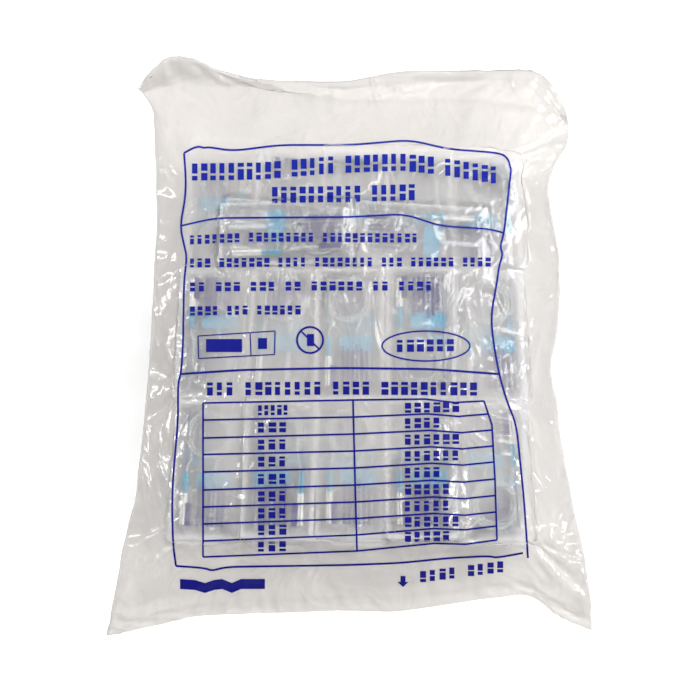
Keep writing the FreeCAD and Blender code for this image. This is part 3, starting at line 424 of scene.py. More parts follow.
def flexo_ink(look):
    """Flexographic ink on film: one flat blue, with painted light and shade that make it lighter towards
    the top of the bag and darker towards its foot.
    """
    material, tree = new_material("flexographic_ink")
    place = add_node(tree, "ShaderNodeTexCoord")
    # painted highlight and painted shade: the one blue ink is made lighter towards the top of the bag and
    # darker towards its foot
    painted_shade_height = add_node(tree, "ShaderNodeSeparateXYZ", (), {"Vector": place.outputs["Object"]})
    share = add_node(tree, "ShaderNodeMapRange",
                     {"From Min": 0.14, "From Max": -0.06, "To Min": 0.05, "To Max": 0.95},
                     {"Value": painted_shade_height.outputs["Y"]})
    tone = add_node(tree, "ShaderNodeMix",
                    {"data_type": "RGBA", "A": linear(look.colour), "B": linear(look.foot)},
                    {"Factor": share.outputs["Result"]})
    finished(tree, {"Roughness": 0.5, "IOR": 1.5, "Specular IOR Level": 0.2},
             {"Base Color": tone.outputs["Result"]})
    return material


def pouch_polypropylene(look):
    """Cast polypropylene film: clear and glossy, and whiter along its heat seal."""
    material, tree = new_material("cast_polypropylene_pouch")
    bump = fine_bump(tree, 7 * MM, 0.6 * MM, 3.0, 0.5)
    # the heat seal along a pouch's edges is whiter than its middle
    seal = add_node(tree, "ShaderNodeAttribute", {"attribute_name": "seal"})
    cover = add_node(tree, "ShaderNodeMapRange", {"To Min": look.cover, "To Max": look.seal_cover},
                     {"Value": seal.outputs["Fac"]})
    finished(tree, {"Base Color": linear(look.film), "Roughness": 0.2, "IOR": 1.49},
             {"Alpha": cover.outputs["Result"], "Normal": bump.outputs["Normal"]})
    return material


def pouch_ink(look):
    """Violet ink on the pouches: a thin, even coat that lets a little light through."""
    material, tree = new_material("violet_pouch_ink")
    bump = fine_bump(tree, 4 * MM, 0.05 * MM)
    finished(tree, {"Base Color": linear(look.ink), "Roughness": 0.45, "Alpha": 0.85},
             {"Normal": bump.outputs["Normal"]})
    return material


def moulded(name, colour, dark, spacing_mm, roughness, ior, **extra):
    """A moulded plastic or rubber: a flow mottle down to a darker tone, and a fine skin."""
    material, tree = new_material(name)
    place = add_node(tree, "ShaderNodeTexCoord")
    flow = add_node(tree, "ShaderNodeTexNoise", {"Scale": 1 / (spacing_mm * MM), "Detail": 2.0},
                    {"Vector": place.outputs["Object"]})
    tone = add_node(tree, "ShaderNodeMix", {"data_type": "RGBA", "A": linear(colour), "B": linear(dark)},
                    {"Factor": flow.outputs["Fac"]})
    bump = fine_bump(tree, 0.4 * MM, 0.03 * MM)
    finished(tree, {"Roughness": roughness, "IOR": ior, **extra},
             {"Base Color": tone.outputs["Result"], "Normal": bump.outputs["Normal"]})
    return material


def drawn_steel():
    """Drawn and ground stainless tube: bright, with a fine grain that softens its highlights."""
    material, tree = new_material("drawn_stainless_tube")
    bump = fine_bump(tree, 0.2 * MM, 0.01 * MM)
    finished(tree, {"Base Color": linear("#c9cccf"), "Metallic": 1.0, "Roughness": 0.22},
             {"Normal": bump.outputs["Normal"]})
    return material


def photo_floor(look):
    """Seamless white background paper: matt, with a faint tooth."""
    material, tree = new_material("matt_background_paper")
    bump = fine_bump(tree, 2 * MM, 0.05 * MM)
    # the photograph's paper is overexposed, so it gives a little light of its own
    finished(tree, {"Base Color": linear(look.floor), "Roughness": 0.95,
                    "Emission Color": linear(look.floor), "Emission Strength": 0.12},
             {"Normal": bump.outputs["Normal"]})
    return material


def paint(node, material):
    """Give a carried-over node a material."""
    for place in node.material_slots:
        place.link = "OBJECT"
        place.material = material


# The bag's film

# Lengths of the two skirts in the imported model, and their rows of cells here.
SOLID_BOTTOM_SKIRT = 14 * MM
SOLID_TOP_SKIRT = 29 * MM
SKIRT_ROWS = (5, 9)
# Where the raised corner is along the top edge and how wide, as shares of the bag's width.
EAR_AT = 0.09
EAR_WIDTH = 0.13
# Borders of the solid are found by halving a span. An outer edge is looked for from inside it, at
# shares of a width that is read a little way in from the end.
BORDER_STEPS = 14
FOLD_HEIGHT = 15 * MM
END_INSET = 3 * MM
SEARCH_START = 12 * MM
SEARCH_REACH = 20 * MM
CORNER_SHARE = 0.003
# Thin polythene as the cloth solver takes it: light, hard to stretch and easy to fold.
FILM_CLOTH = {"mass": 0.02, "tension_stiffness": 30, "compression_stiffness": 30,
              "shear_stiffness": 15, "bending_stiffness": 0.05, "air_damping": 3,
              "pin_stiffness": 1, "quality": 6}
SEAL_HOLD = 0.6
HEAP_FRICTION = 20
STAND_OFF = 1.0 * MM
DRAPE_FRAMES = 24


def mesh_tree(mesh):
    """A mesh, ready for rays."""
    return BVHTree.FromPolygons([v.co for v in mesh.vertices], [tuple(p.vertices) for p in mesh.polygons])


class SolidFilm:
    """The bag's solid, read by rays: where its borders are and how high it is."""

    def __init__(self):
        self.tree = mesh_tree(NODES["bag_film"].data)
        self.low, self.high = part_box("bag_film")

    def border(self, inside, outside):
        """The last place between two that the solid is over."""
        for _ in range(BORDER_STEPS):
            middle = (inside + outside) / 2
            if top_at(self.tree, middle.x, middle.y) is None:
                outside = middle
            else:
                inside = middle
        return inside

    def heights(self, x, y):
        """The heights of the top and the underside over a place."""
        top = top_at(self.tree, x, y)
        if top is None:
            near = self.tree.find_nearest(Vector((x, y, FOLD_HEIGHT)))[0]
            return near.z, near.z
        under = self.tree.ray_cast(Vector((x, y, -1.0)), Vector((0, 0, 1)))[0]
        return top.z, under.z


def film_bands(solid):
    """The lower, upper, left and right borders of the solid's three bands, by shares of the way."""
    reach = 1.2 * solid.high.x

    def side(sign, low, high):
        def at(share):
            y = low + (high - low) * share
            return tuple(solid.border(Vector((0, y, 0)), Vector((sign * reach, y, 0))).xy)
        return at

    def cross(y, sign):
        """A line across the solid: an outer edge, or a seal where sign is 0."""
        def at(share):
            share = min(max(share, CORNER_SHARE), 1 - CORNER_SHARE)
            row = y - sign * END_INSET
            left = solid.border(Vector((0, row, 0)), Vector((-reach, row, 0))).x
            right = solid.border(Vector((0, row, 0)), Vector((reach, row, 0))).x
            x = left + (right - left) * share
            if not sign:
                return (x, y)
            inner = Vector((x, y - sign * SEARCH_START, 0))
            return tuple(solid.border(inner, inner + Vector((0, sign * SEARCH_REACH, 0))).xy)
        return at

    low, high = solid.low.y, solid.high.y
    limits = (low, low + SOLID_BOTTOM_SKIRT, high - SOLID_TOP_SKIRT, high)
    lines = [cross(y, sign) for y, sign in zip(limits, (-1, 0, 0, 1))]
    return [(lines[k], lines[k + 1], side(-1, *limits[k:k + 2]), side(1, *limits[k:k + 2]))
            for k in range(3)]


def seen_line(points):
    """A line of the photograph, by shares of the way."""
    smooth = rounded(points, CORNER)
    return lambda share: along_line(smooth, share)


def sampled(lines, columns, rows):
    """Four borders as points: the lower and upper ones by columns, the sides by rows."""
    return [[np.array(line(k / count)) for k in range(count + 1)]
            for line, count in zip(lines, (columns, columns, rows, rows))]


def grid_patch(borders, i, j):
    """A point of the sheet spanned by four sampled borders."""
    low, high, left, right = borders
    s = i / (len(low) - 1)
    t = j / (len(left) - 1)
    corners = ((1 - s) * (1 - t) * low[0] + s * (1 - t) * low[-1]
               + (1 - s) * t * high[0] + s * t * high[-1])
    return (1 - t) * low[i] + t * high[i] + (1 - s) * left[j] + s * right[j] - corners


def film_sheets(look, stage):
    """Places of the film's top and underside as grids, set to the photograph's outline."""
    solid = SolidFilm()
    bands = film_bands(solid)
    counts = (SKIRT_ROWS[0], look.rows, SKIRT_ROWS[1])
    columns = look.columns
    tops = []
    lows = []
    for k, count in enumerate(counts):
        borders = sampled(bands[k], columns, count)
        seen = sampled([seen_line(points) for points in SEEN_BANDS[k]], columns, count)
        for j in range(min(k, 1), count + 1):
            t = j / count if k == 2 else 0
            for i in range(columns + 1):
                x, y = grid_patch(borders, i, j)
                top, under = solid.heights(x, y)
                raised = look.ear * t * t * math.exp(-((i / columns - EAR_AT) / EAR_WIDTH) ** 2)
                across, down = grid_patch(seen, i, j)
                tops.append(at_height(stage, across, down, top + raised))
                lows.append(under + raised)
    return tops, lows, sum(counts)


def heap_piece():
    """One piece of every pouch, for the film to lie on."""
    points = []
    faces = []
    for layer in LAYERS:
        mesh = NODES[f"pouches_layer_{layer}"].data
        start = len(points)
        points.extend(v.co.copy() for v in mesh.vertices)
        faces.extend(tuple(start + v for v in p.vertices) for p in mesh.polygons)
    return mesh_object("heap", points, faces, smooth=False)


def drape(sheet, heap, look, columns, rows):
    """Let the film settle over the heap, held at its folds, seals and outer edges."""
    held = sheet.vertex_groups.new(name="held")
    for j in range(rows + 1):
        for i in range(columns + 1):
            if i in (0, columns) or j in (0, rows):
                held.add([j * (columns + 1) + i], 1.0, "REPLACE")
            elif j in (SKIRT_ROWS[0], rows - SKIRT_ROWS[1]):
                held.add([j * (columns + 1) + i], SEAL_HOLD, "REPLACE")
    heap.modifiers.new("held", "COLLISION")
    heap.collision.thickness_outer = STAND_OFF
    heap.collision.cloth_friction = HEAP_FRICTION
    cloth = sheet.modifiers.new("drape", "CLOTH")
    for name, value in FILM_CLOTH.items():
        setattr(cloth.settings, name, value)
    cloth.settings.vertex_group_mass = "held"
    cloth.settings.shrink_min = -look.slack
    cloth.collision_settings.distance_min = STAND_OFF
    cloth.collision_settings.collision_quality = 3
    cloth.point_cache.frame_start = 1
    cloth.point_cache.frame_end = DRAPE_FRAMES
    scene = bpy.context.scene
    for step in range(1, DRAPE_FRAMES + 1):
        scene.frame_set(step)
    settled = sheet.evaluated_get(bpy.context.evaluated_depsgraph_get())
    places = [v.co.copy() for v in settled.data.vertices]
    scene.frame_set(1)
    starts = [v.co.copy() for v in sheet.data.vertices]
    return [start + capped(place - start, look.sink) for start, place in zip(starts, places)]


def capped(move, most):
    """A move that keeps its direction and is never longer than the most allowed."""
    length = move.length
    return move if length < 1e-9 else move * (most * math.tanh(length / most) / length)


def joined_film(tops, lows, look, rows):
    """The film's top and underside, joined along the folds and the outer edges."""
    columns = look.columns
    points = list(tops)
    index = {}
    seam = [0.0] * len(tops)
    for k, under in enumerate(lows):
        j, i = divmod(k, columns + 1)
        border = i in (0, columns) or j in (0, rows)
        index[k] = k if border else len(points)
        if border or j in (SKIRT_ROWS[0], rows - SKIRT_ROWS[1]):
            seam[k] = 1.0
        if not border:
            # the underside keeps the solid's form, moved sideways with the top above it
            low = min(under, tops[k].z - look.clearance)
            points.append(Vector((tops[k].x, tops[k].y, max(low, look.clearance))))
            seam.append(seam[k])
    faces = grid_faces(columns, rows)
    faces += [tuple(index[v] for v in face) for face in grid_faces(columns, rows, flip=True)]
    film = mesh_object("bag_film_sheet", points, faces)
    mark(film, "seam", seam)
    finer = film.modifiers.new("finer", "SUBSURF")
    finer.levels = 1
    finer.render_levels = 1
    fixed = bpy.data.meshes.new_from_object(film.evaluated_get(bpy.context.evaluated_depsgraph_get()))
    film.modifiers.clear()
    film.data = fixed
    return film


def film_piece(look, stage):
    """The bag's film: settled over the heap, creased, and raised where it would cut a pouch."""
    tops, lows, rows = film_sheets(look, stage)
    heap = heap_piece()
    sheet = mesh_object("drape_sheet", tops, grid_faces(look.columns, rows))
    tops = drape(sheet, heap, look, look.columns, rows)
    bpy.data.objects.remove(sheet)
    film = joined_film(tops, lows, look, rows)
    crinkled(film, look, stage)
    pouches = mesh_tree(heap.data)
    bpy.data.objects.remove(heap)
    vertices = film.data.vertices
    mark(film, "away", [smooth_step(min(pouches.find_nearest(v.co)[3] / look.far, 1)) for v in vertices])
    upper = [v for v in vertices if v.normal.z > 0.1]
    lifts = [top_at(pouches, v.co.x, v.co.y) for v in upper]
    for vertex, pouch in zip(upper, lifts):
        if pouch is not None:
            vertex.co.z = max(vertex.co.z, pouch.z + look.heap_gap)
    film.data.update()
    return film


# Corners and sides that long creases run out from, in pixels: where they start, how far they
# reach, how many there are in a turn, and their share of the full height.
FANS = (
    ((570, 126), 190, 46, 1.0), ((592, 617), 230, 50, 1.0), ((109, 621), 220, 50, 0.9),
    ((141, 93), 150, 40, 0.8), ((556, 350), 110, 30, 0.6), ((148, 335), 110, 30, 0.6),
)
# In a fan: its bare middle, the distance at which its creases are full, and their length, in pixels.
FAN_MIDDLE = 4
FAN_RISE = 25
FAN_LENGTH = 90
# The creases up the sides: the shares of the bag's half width at which they begin and are full,
# their spacing, their length and their share of the full height.
SIDE_FOLDS = (0.55, 1.0)
SIDE_SPACING = 11 * MM
SIDE_LENGTH = 60 * MM
SIDE_SHARE = 0.7
# The fine crinkles: their spacing, and their share in the middle of the bag.
CRINKLE_SPACING = 26 * MM
CRINKLE_LEAST = 0.35


def ridges(across, along, seed):
    """The height of sharp ridges, from 0 to 1, that run along a direction."""
    wave = noise.ridged_multi_fractal(Vector((across, along, seed)), 1.0, 2.2, 3, 0.9, 2.0)
    return min(max(wave / 2, 0), 1) ** 2


def long_creases(x, y, pixel):
    """The height, from 0 to about 1, of the creases that fan out from corners and run up the sides."""
    total = 0
    for seed, (start, reach, turns, share) in enumerate(FANS):
        aside = (pixel[0] - start[0], pixel[1] - start[1])
        distance = math.hypot(*aside)
        if FAN_MIDDLE < distance < reach:
            fade = (1 - distance / reach) ** 0.8 * min(distance / FAN_RISE, 1)
            turn = math.atan2(aside[1], aside[0]) / (2 * math.pi)
            total += share * fade * ridges(turn * turns, distance / FAN_LENGTH, 7.3 * seed)
    out = (abs(x) / CAD_BOX[1][0] - SIDE_FOLDS[0]) / (SIDE_FOLDS[1] - SIDE_FOLDS[0])
    if out > 0:
        total += SIDE_SHARE * min(out, 1) * ridges(x / SIDE_SPACING, y / SIDE_LENGTH, 31.7)
    return total


def crinkled(film, look, stage):
    """Creases and fine crinkles of the film, more of them towards the edges and corners."""
    eye, right, up, back = camera_axes(stage)
    focal = stage.lens / SENSOR * PICTURE
    high = CAD_BOX[1]
    normals = [v.normal.copy() for v in film.data.vertices]
    for vertex, normal in zip(film.data.vertices, normals):
        x, y, z = vertex.co
        seen = vertex.co - eye
        depth = -seen.dot(back)
        pixel = (PICTURE / 2 + focal * seen.dot(right) / depth, PICTURE / 2 - focal * seen.dot(up) / depth)
        towards_edge = max(abs(x) / high[0], abs(y) / high[1]) ** 3
        wave = noise.ridged_multi_fractal(Vector((x, y, 3 * z)) / CRINKLE_SPACING, 1.0, 2.1, 4, 0.9, 2.0)
        lift = look.crinkle * (CRINKLE_LEAST + towards_edge) * (wave / 2.0 - 0.5)
        if normal.z > 0:
            lift += look.crease * long_creases(x, y, pixel)
        place = vertex.co + normal * lift
        place.z = max(place.z, look.clearance)
        vertex.co = place
    film.data.update()


# The bag's print


class Printed:
    """Collects flat shapes in pixels and lays them on the film."""

    def __init__(self, look, stage, film):
        self.look = look
        self.stage = stage
        self.eye = camera_axes(stage)[0]
        self.tree = mesh_tree(film.data)
        self.points = []
        self.faces = []

    def laid(self, across, down):
        """A point on the film, as seen at a pixel."""
        ray = pixel_direction(self.stage, across, down)
        hit = self.tree.ray_cast(self.eye, ray)[0]
        if hit is None:
            raise RuntimeError(f"the print leaves the film at {across}, {down}")
        return hit - ray * self.look.lift

    def strip(self, first, second):
        """A strip between two like lines of pixels."""
        start = len(self.points)
        for a, b in zip(first, second):
            self.points.append(self.laid(*a))
            self.points.append(self.laid(*b))
        for k in range(len(first) - 1):
            a = start + 2 * k
            self.faces.append((a, a + 1, a + 3, a + 2))

    def line(self, points, weight, closed=False):
        """A line of a weight, in pixels."""
        points = resampled(points, self.look.step)
        sides = ([], [])
        for k, point in enumerate(points):
            before = points[k - 1] if k else (points[-2] if closed else point)
            after = points[k + 1] if k + 1 < len(points) else (points[1] if closed else point)
            along = Vector((after[0] - before[0], after[1] - before[1])).normalized()
            aside = Vector((-along.y, along.x)) * weight / 2
            sides[0].append((point[0] + aside.x, point[1] + aside.y))
            sides[1].append((point[0] - aside.x, point[1] - aside.y))
        self.strip(*sides)

    def block(self, left, top, right, low):
        """A solid block."""
        count = max(1, round((right - left) / self.look.step))
        upper = [(left + (right - left) * k / count, top) for k in range(count + 1)]
        self.field(upper, low - top)

    def field(self, upper, depth):
        """A field of ink below a line of pixels, in strips thin enough to follow the creases."""
        count = max(1, round(depth / self.look.step))
        rows = [[(x, y + depth * k / count) for x, y in upper] for k in range(count + 1)]
        for first, second in zip(rows, rows[1:]):
            self.strip(first, second)


# A word's blocks: the space between words and the blocks' widths, as shares of a block's pitch,
# the heights of their slits as shares of their own, and half a slit as a share of a stroke.
WORD_SPACE = 0.9
BLOCK_WIDTHS = (0.5, 0.72)
SLITS = (0.3, 0.5, 0.66)
HALF_SLIT = 0.34


def greeked(ink, line, words, cap, stroke, chance):
    """A row of words as plain split blocks along a line of pixels, never as letters."""
    x, right = line[0][0], line[-1][0]
    gap = HALF_SLIT * stroke
    pitch = (right - x) / (sum(words) + WORD_SPACE * (len(words) - 1))
    for count in words:
        for _ in range(count):
            width = pitch * chance.uniform(*BLOCK_WIDTHS)
            top = height_at(line, x + width / 2) - cap / 2
            slit = chance.choice(SLITS) * cap
            ink.block(x, top, x + width, top + slit - gap)
            ink.block(x, top + slit + gap, x + width, top + cap)
            x += pitch
        x += WORD_SPACE * pitch


def height_at(line, across):
    """The height in pixels of a line at a place across."""
    return float(np.interp(across, [p[0] for p in line], [p[1] for p in line]))


# Rows of words: the line of their middles, the letters of each word, their height and stroke.
WORD_LINES = (
    (((192, 172), (260, 171), (330, 165), (400, 162), (440, 166), (500, 176)), (10, 5, 10, 6), 17, 3.4),
    (((272, 195), (345, 194), (418, 192)), (10, 5), 16, 3.2),
    (((207, 389), (340, 388), (480, 389)), (3, 8, 4, 10), 13, 2.6),
    (((190, 240), (250, 237), (420, 238)), (7, 9, 13), 9, 1.8),
    (((190, 263), (300, 262), (493, 262)), (3, 7, 4, 8, 3, 6, 4), 9, 1.8),
    (((190, 287), (300, 286), (435, 286)), (2, 3, 3, 2, 6, 2, 4), 9, 1.8),
    (((190, 311), (250, 310), (303, 310)), (4, 3, 6), 9, 1.8),
)
# The table's words: the letters of the two in each row, and where the two columns lie.
ROW_WORDS = ((5, 6), (3, 4), (3, 6), (3, 6), (3, 4), (3, 5), (3, 5), (3, 6), (3, 5))
ROW_CAP = 10
ROW_STROKE = 2.2
FIRST_COLUMN = (258, 290)
SECOND_COLUMN = 405
SECOND_PITCH = 9.5
TABLE_WEIGHT = 1.8
SYMBOL_CELLS = ((198, 336), (275, 331), (274.5, 354.5), (198.5, 358.5), (198, 336))
CELL_DIVIDER = ((250, 332.5), (251, 356))
CELL_WEIGHT = 1.2
# Solid blocks, as (left, top, right, low): in the two cells, in the ring, and the arrow's shaft.
BLOCKS = ((206, 339, 242, 352), (258, 338, 267, 349), (307, 334, 314, 346), (400.5, 576, 405.5, 582))
# Rings, as (across, down, half width, half height, weight).
RING = (310, 340, 13, 13, 2.0)
OVAL = (426, 346, 44, 15, 1.6)
RING_STEPS = 40
STROKE_WEIGHT = 1.6
OVAL_WORD = (((397, 346), (457, 345)), (6,), 12, 2.6)
SOLID_BAR = ((180, 579), (195, 580), (205, 583), (214, 580), (222, 579), (232, 583), (241, 579),
             (265, 579))
BAR_DEPTH = 10
# The arrow's head: the middle of its top, its half width and its rows.
ARROW = (403, 582)
ARROW_HALF = 5.5
ARROW_ROWS = 5
LAST_WORDS = (((420, 577), (452, 573), (507, 566)), (4, 4), 11, 1.4)


def bag_print(look, stage, film):
    """The whole print of the bag's face."""
    ink = Printed(look, stage, film)
    chance = random.Random(11)
    for weight, points in BOX_LINES:
        ink.line(rounded(points, CORNER), weight)
    for points in (TABLE_LEFT, TABLE_MIDDLE, TABLE_RIGHT):
        ink.line(points, TABLE_WEIGHT)
    for row in TABLE_ROWS:
        ink.line(row_line(*row), TABLE_WEIGHT)
    for words in WORD_LINES:
        greeked(ink, *words, chance)
    for words, upper, lower in zip(ROW_WORDS, TABLE_ROWS, TABLE_ROWS[1:]):
        left, middle, right = ((a + b) / 2 for a, b in zip(upper, lower))
        y = 0.6 * left + 0.4 * middle
        line = ((FIRST_COLUMN[0], y), (FIRST_COLUMN[1], y - 0.5))
        greeked(ink, line, words[:1], ROW_CAP, ROW_STROKE, chance)
        y = 0.4 * middle + 0.6 * right
        line = ((SECOND_COLUMN, y), (SECOND_COLUMN + SECOND_PITCH * words[1], y - 1))
        greeked(ink, line, words[1:], ROW_CAP, ROW_STROKE, chance)
    ink.line(SYMBOL_CELLS, CELL_WEIGHT)
    ink.line(CELL_DIVIDER, CELL_WEIGHT)
    for block in BLOCKS:
        ink.block(*block)
    ring(ink, *RING)
    across, down, half = RING[:3]
    slope = half * math.sqrt(0.5)
    ink.line(((across - slope, down - slope), (across + slope, down + slope)), STROKE_WEIGHT)
    ring(ink, *OVAL)
    greeked(ink, *OVAL_WORD, chance)
    ink.field(resampled(SOLID_BAR, look.step), BAR_DEPTH)
    for k in range(ARROW_ROWS):
        rows = []
        for step in (k, k + 1):
            half = ARROW_HALF * (1 - step / ARROW_ROWS)
            rows.append([(ARROW[0] - half, ARROW[1] + step), (ARROW[0] + half, ARROW[1] + step)])
        ink.strip(*rows)
    greeked(ink, *LAST_WORDS, chance)
    return mesh_object("print_ink", ink.points, ink.faces, smooth=False)


def row_line(left, middle, right):
    """A row line of the table, with the small kink near its right end."""
    x0 = TABLE_LEFT[0][0]
    x1 = height_at([(p[1], p[0]) for p in TABLE_MIDDLE], middle)
    x2 = height_at([(p[1], p[0]) for p in TABLE_RIGHT], right)
    kink = [(x1 + (x2 - x1) * share, middle + (right - middle) * share + fall) for share, fall in ROW_KINK]
    return [(x0, left), (x1, middle)] + kink + [(x2, right)]


def ring(ink, across, down, half_width, half_height, weight):
    """A closed ring."""
    turns = [2 * math.pi * k / RING_STEPS for k in range(RING_STEPS + 1)]
    points = [(across + half_width * math.cos(turn), down + half_height * math.sin(turn)) for turn in turns]
    ink.line(points, weight, closed=True)


# The pouches

# A pouch's heat seal, half its thickness, the slope from there to the full middle, and the
# spacing of its dents.
POUCH_SEAL = 3 * MM
SEAL_HALF = 0.1 * MM
POUCH_SLOPE = 7 * MM
DENT_SPACING = 17 * MM
# The print of a pouch, in millimetres from its middle: one bar, rows of blocks, two long lines and
# three boxes.
PRINT_MARGIN = 9
PRINT_LIFT = 0.12
PRINT_BAR = (16, -14, -10)
BLOCK_ROWS = 6
BLOCK_ROW_LENGTHS = (30, 27, 24)
BLOCK_ROW_START = -6
BLOCK_ROW_PITCH = 3.4
BLOCK_HEIGHT = 2.1
BLOCK_LENGTHS = (0.8, 2.6)
BLOCK_GAP = 0.7
LONG_LINES = (-16, 16)
THIN = 0.4
BOXES_AT = (12, 21, 30)
BOX_LENGTH = 7
BOX_SIDES = (-9, -2.6)


def loose_parts(mesh):
    """The vertices of each part of a mesh that hangs together."""
    # vertices at the same micrometre count as one
    places = [tuple(round(c / (0.001 * MM)) for c in v.co) for v in mesh.vertices]
    parent = {place: place for place in places}

    def root(a):
        while parent[a] != a:
            parent[a] = parent[parent[a]]
            a = parent[a]
        return a

    for edge in mesh.edges:
        a, b = (root(places[v]) for v in edge.vertices)
        parent[a] = b
    groups = {}
    for index, place in enumerate(places):
        groups.setdefault(root(place), []).append(index)
    return list(groups.values())


def pouch_poses(node):
    """The pose of every pouch in a node: its middle, its axes and its half sizes."""
    poses = []
    for part in loose_parts(node.data):
        points = np.array([node.data.vertices[v].co for v in part])
        middle = points.mean(0)
        _, _, axes = np.linalg.svd(points - middle, full_matrices=False)
        own = (points - middle) @ axes.T
        half = (own.max(0) - own.min(0)) / 2
        middle = middle + ((own.max(0) + own.min(0)) / 2) @ axes
        poses.append((Vector(middle), [Vector(a) for a in axes], half))
    # the shorter parts are the insides of the pouches
    longest = max(pose[2][0] for pose in poses)
    return [pose for pose in poses if pose[2][0] > longest - POUCH_SEAL / 2]


def pillow(half, u, v, crinkle, seed):
    """The height of a pouch's upper film at a place, from its flat seals to its full middle."""
    inward = min(half[0] - abs(u), half[1] - abs(v)) - POUCH_SEAL
    if inward <= 0:
        return SEAL_HALF
    swell = smooth_step(min(inward / POUCH_SLOPE, 1.0))
    place = Vector((u / DENT_SPACING, v / DENT_SPACING, seed))
    dent = noise.ridged_multi_fractal(place, 1.0, 2.0, 3, 1.0, 2.0)
    return SEAL_HALF + (half[2] - SEAL_HALF - crinkle * min(max(dent / 2, 0), 1)) * swell


def pouch_sheets(look, node, number):
    """Every pouch of a node as one piece of two films each, and the poses of its pouches."""
    points = []
    faces = []
    seals = []
    poses = pouch_poses(node)
    for k, (middle, axes, half) in enumerate(poses):
        for side in (1, -1):
            start = len(points)
            for j in range(look.rows + 1):
                v = (2 * j / look.rows - 1) * half[1]
                for i in range(look.columns + 1):
                    u = (2 * i / look.columns - 1) * half[0]
                    lift = side * pillow(half, u, v, look.crinkle, 10 * number + k + 0.5 * side)
                    points.append(middle + axes[0] * u + axes[1] * v + axes[2] * lift)
                    seals.append(float(min(half[0] - abs(u), half[1] - abs(v)) <= POUCH_SEAL))
            faces += grid_faces(look.columns, look.rows, start, flip=side < 0)
    piece = mesh_object(f"pouch_sheets_{number}", points, faces)
    mark(piece, "seal", seals)
    return piece, poses


def pouch_print(look, poses):
    """The violet print of the pouches: bars, boxes and rows of small blocks."""
    points = []
    faces = []
    chance = random.Random(5)

    def field(u0, v0, u1, v1):
        start = len(points)
        for u, v in ((u0, v0), (u1, v0), (u1, v1), (u0, v1)):
            u, v = u * MM, v * MM
            lift = pillow(half, u, v, look.crinkle, number + 0.5 * side) + PRINT_LIFT * MM
            points.append(middle + axes[0] * u + axes[1] * v + axes[2] * side * lift)
        faces.append((start, start + 1, start + 2, start + 3))

    for (middle, axes, half), number in poses:
        side = 1 if axes[2].z > 0 else -1
        left = PRINT_MARGIN - half[0] / MM
        field(left, PRINT_BAR[1], left + PRINT_BAR[0], PRINT_BAR[2])
        for row in range(BLOCK_ROWS):
            v = BLOCK_ROW_START + BLOCK_ROW_PITCH * row
            u = left
            while u < left + BLOCK_ROW_LENGTHS[row % 3]:
                long = chance.uniform(*BLOCK_LENGTHS)
                field(u, v, u + long, v + BLOCK_HEIGHT)
                u += long + BLOCK_GAP
        for line in LONG_LINES:
            field(left, line - THIN / 2, -left, line + THIN / 2)
        low, high = BOX_SIDES
        for u in BOXES_AT:
            field(u, low, u + BOX_LENGTH, low + THIN)
            field(u, high - THIN, u + BOX_LENGTH, high)
            field(u, low, u + THIN, high)
            field(u + BOX_LENGTH - THIN, low, u + BOX_LENGTH, high)
    return mesh_object("pouch_print", points, faces, smooth=False)


# Operators, one for each piece or group of like pieces, and one for the stage


class NEEDLEBAG_OT_stage(bpy.types.Operator):
    """Add the floor, the lights and the camera"""
    bl_idname = "needlebag.stage"
    bl_label = "Add stage"

    def execute(self, context):
        look = context.scene.needlebag_stage
        half = look.floor_size / 2
        corners = [(-half, -half, 0), (half, -half, 0), (half, half, 0), (-half, half, 0)]
        floor = mesh_object("floor", corners, [(0, 1, 2, 3)])
        floor.data.materials.append(photo_floor(look))
        for name, (place, size, power, colour) in LIGHTS.items():
            lamp = bpy.data.lights.new(name, "AREA")
            lamp.shape = "RECTANGLE"
            lamp.size = size
            lamp.size_y = max(size, LIGHT_LENGTH)
            lamp.energy = power
            lamp.color = colour
            light = bpy.data.objects.new(name, lamp)
            light.location = place
            light.rotation_euler = (-Vector(place)).to_track_quat("-Z", "Y").to_euler()
            context.scene.collection.objects.link(light)
        world = bpy.data.worlds.new("studio")
        world.use_nodes = True
        background = world.node_tree.nodes["Background"]
        background.inputs["Color"].default_value = (1, 1, 1, 1)
        background.inputs["Strength"].default_value = ROOM_LIGHT
        context.scene.world = world
        context.scene.view_settings.view_transform = "Standard"
        eye, right, up, back = camera_axes(look)
        lens = bpy.data.cameras.new("camera")
        lens.lens = look.lens
        lens.sensor_width = SENSOR
        lens.clip_start = 0.01
        camera = bpy.data.objects.new("camera", lens)
        camera.matrix_world = Matrix.Translation(eye) @ Matrix((right, up, back)).transposed().to_4x4()
        context.scene.collection.objects.link(camera)
        context.scene.camera = camera
        return {"FINISHED"}


class NEEDLEBAG_OT_film(bpy.types.Operator):
    """Drape the bag's film over the heap and print it"""
    bl_idname = "needlebag.film"
    bl_label = "Add film and print"

    def execute(self, context):
        look = context.scene.needlebag_film
        stage = context.scene.needlebag_stage
        printed = context.scene.needlebag_print
        film = film_piece(look, stage)
        film.data.materials.append(blown_polythene(look))
        # the haze scatters light forward, so the film throws no shadow of its own
        film.visible_shadow = False
        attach(film, "root")
        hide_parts("bag_film")
        ink = bag_print(printed, stage, film)
        ink.data.materials.append(flexo_ink(printed))
        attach(ink, "root")
        return {"FINISHED"}


class NEEDLEBAG_OT_pouches(bpy.types.Operator):
    """Give every pouch its crinkled film and violet print"""
    bl_idname = "needlebag.pouches"
    bl_label = "Add pouches"

    def execute(self, context):
        look = context.scene.needlebag_pouch
        clear = pouch_polypropylene(look)
        every = []
        for layer in LAYERS:
            node = f"pouches_layer_{layer}"
            piece, poses = pouch_sheets(look, NODES[node], layer)
            piece.data.materials.append(clear)
            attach(piece, "root")
            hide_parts(node)
            every += [(pose, 10 * layer + k) for k, pose in enumerate(poses)]
        marks = pouch_print(look, every)
        marks.data.materials.append(pouch_ink(look))
        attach(marks, "root")
        return {"FINISHED"}


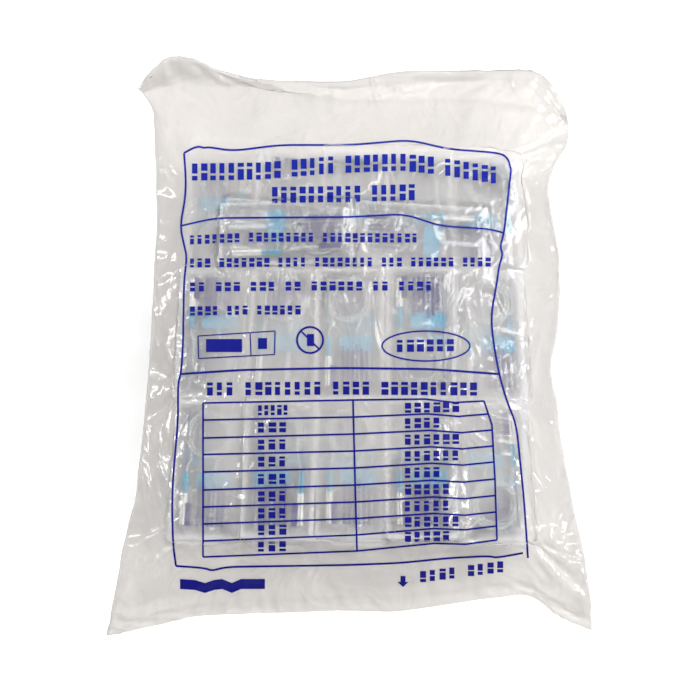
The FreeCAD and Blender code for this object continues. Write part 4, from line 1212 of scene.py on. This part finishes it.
class NEEDLEBAG_OT_sets(bpy.types.Operator):
    """Give the needle sets in the pouches their plastics and steel"""
    bl_idname = "needlebag.sets"
    bl_label = "Finish needle sets"

    def execute(self, context):
        look = context.scene.needlebag_set
        finishes = {
            # soft PVC, injection moulded: translucent turquoise with a satin skin
            "winged_hubs": moulded("moulded_soft_pvc", look.wings, "#008eb2", 6, 0.42, 1.53,
                                   **{"Subsurface Weight": 0.2, "Subsurface Scale": 1.5 * MM}),
            # turquoise ABS, injection moulded: hard, with a clean gloss
            "adapters": moulded("moulded_abs", look.adapter, "#0c94b2", 5, 0.3, 1.53),
            # low density polyethylene, moulded: milky and waxy
            "sheaths": moulded("moulded_polyethylene", look.sheath, "#bcc5cc", 8, 0.38, 1.51),
            # clear PVC tube, extruded: glossy, pale grey from its walls
            "tubing": moulded("extruded_clear_pvc", look.tubing, "#a3acb0", 10, 0.18, 1.54),
            # latex, dipped: matt and creamy
            "sleeves": moulded("dipped_latex", look.sleeve, "#d8cba9", 3, 0.6, 1.52),
            # polypropylene, moulded: white and slightly glossy
            "caps": moulded("moulded_polypropylene", look.cap, "#e2e3de", 6, 0.33, 1.49),
            "needles": drawn_steel(),
        }
        for kind, material in finishes.items():
            for layer in LAYERS:
                paint(NODES[f"{kind}_layer_{layer}"], material)
        return {"FINISHED"}


class NEEDLEBAG_PT_panel(bpy.types.Panel):
    """Lists the steps that dress the bag"""
    bl_idname = "NEEDLEBAG_PT_panel"
    bl_label = "Needle bag"
    bl_space_type = "VIEW_3D"
    bl_region_type = "UI"
    bl_category = "Needle bag"

    def draw(self, context):
        for operator in OPERATORS:
            self.layout.operator(operator.bl_idname)


LOOKS = (
    (BagFilmLook, "needlebag_film"),
    (PrintLook, "needlebag_print"),
    (PouchLook, "needlebag_pouch"),
    (SetLook, "needlebag_set"),
    (StageLook, "needlebag_stage"),
)
OPERATORS = (NEEDLEBAG_OT_stage, NEEDLEBAG_OT_sets, NEEDLEBAG_OT_pouches, NEEDLEBAG_OT_film)


def register():
    for look, name in LOOKS:
        bpy.utils.register_class(look)
        setattr(bpy.types.Scene, name, PointerProperty(type=look))
    for operator in OPERATORS:
        bpy.utils.register_class(operator)
    bpy.utils.register_class(NEEDLEBAG_PT_panel)


def unregister():
    bpy.utils.unregister_class(NEEDLEBAG_PT_panel)
    for operator in reversed(OPERATORS):
        bpy.utils.unregister_class(operator)
    for look, name in reversed(LOOKS):
        delattr(bpy.types.Scene, name)
        bpy.utils.unregister_class(look)


def main():
    register()
    bpy.ops.needlebag.stage()
    bpy.ops.needlebag.sets()
    bpy.ops.needlebag.pouches()
    bpy.ops.needlebag.film()


if __name__ == "__main__":
    main()
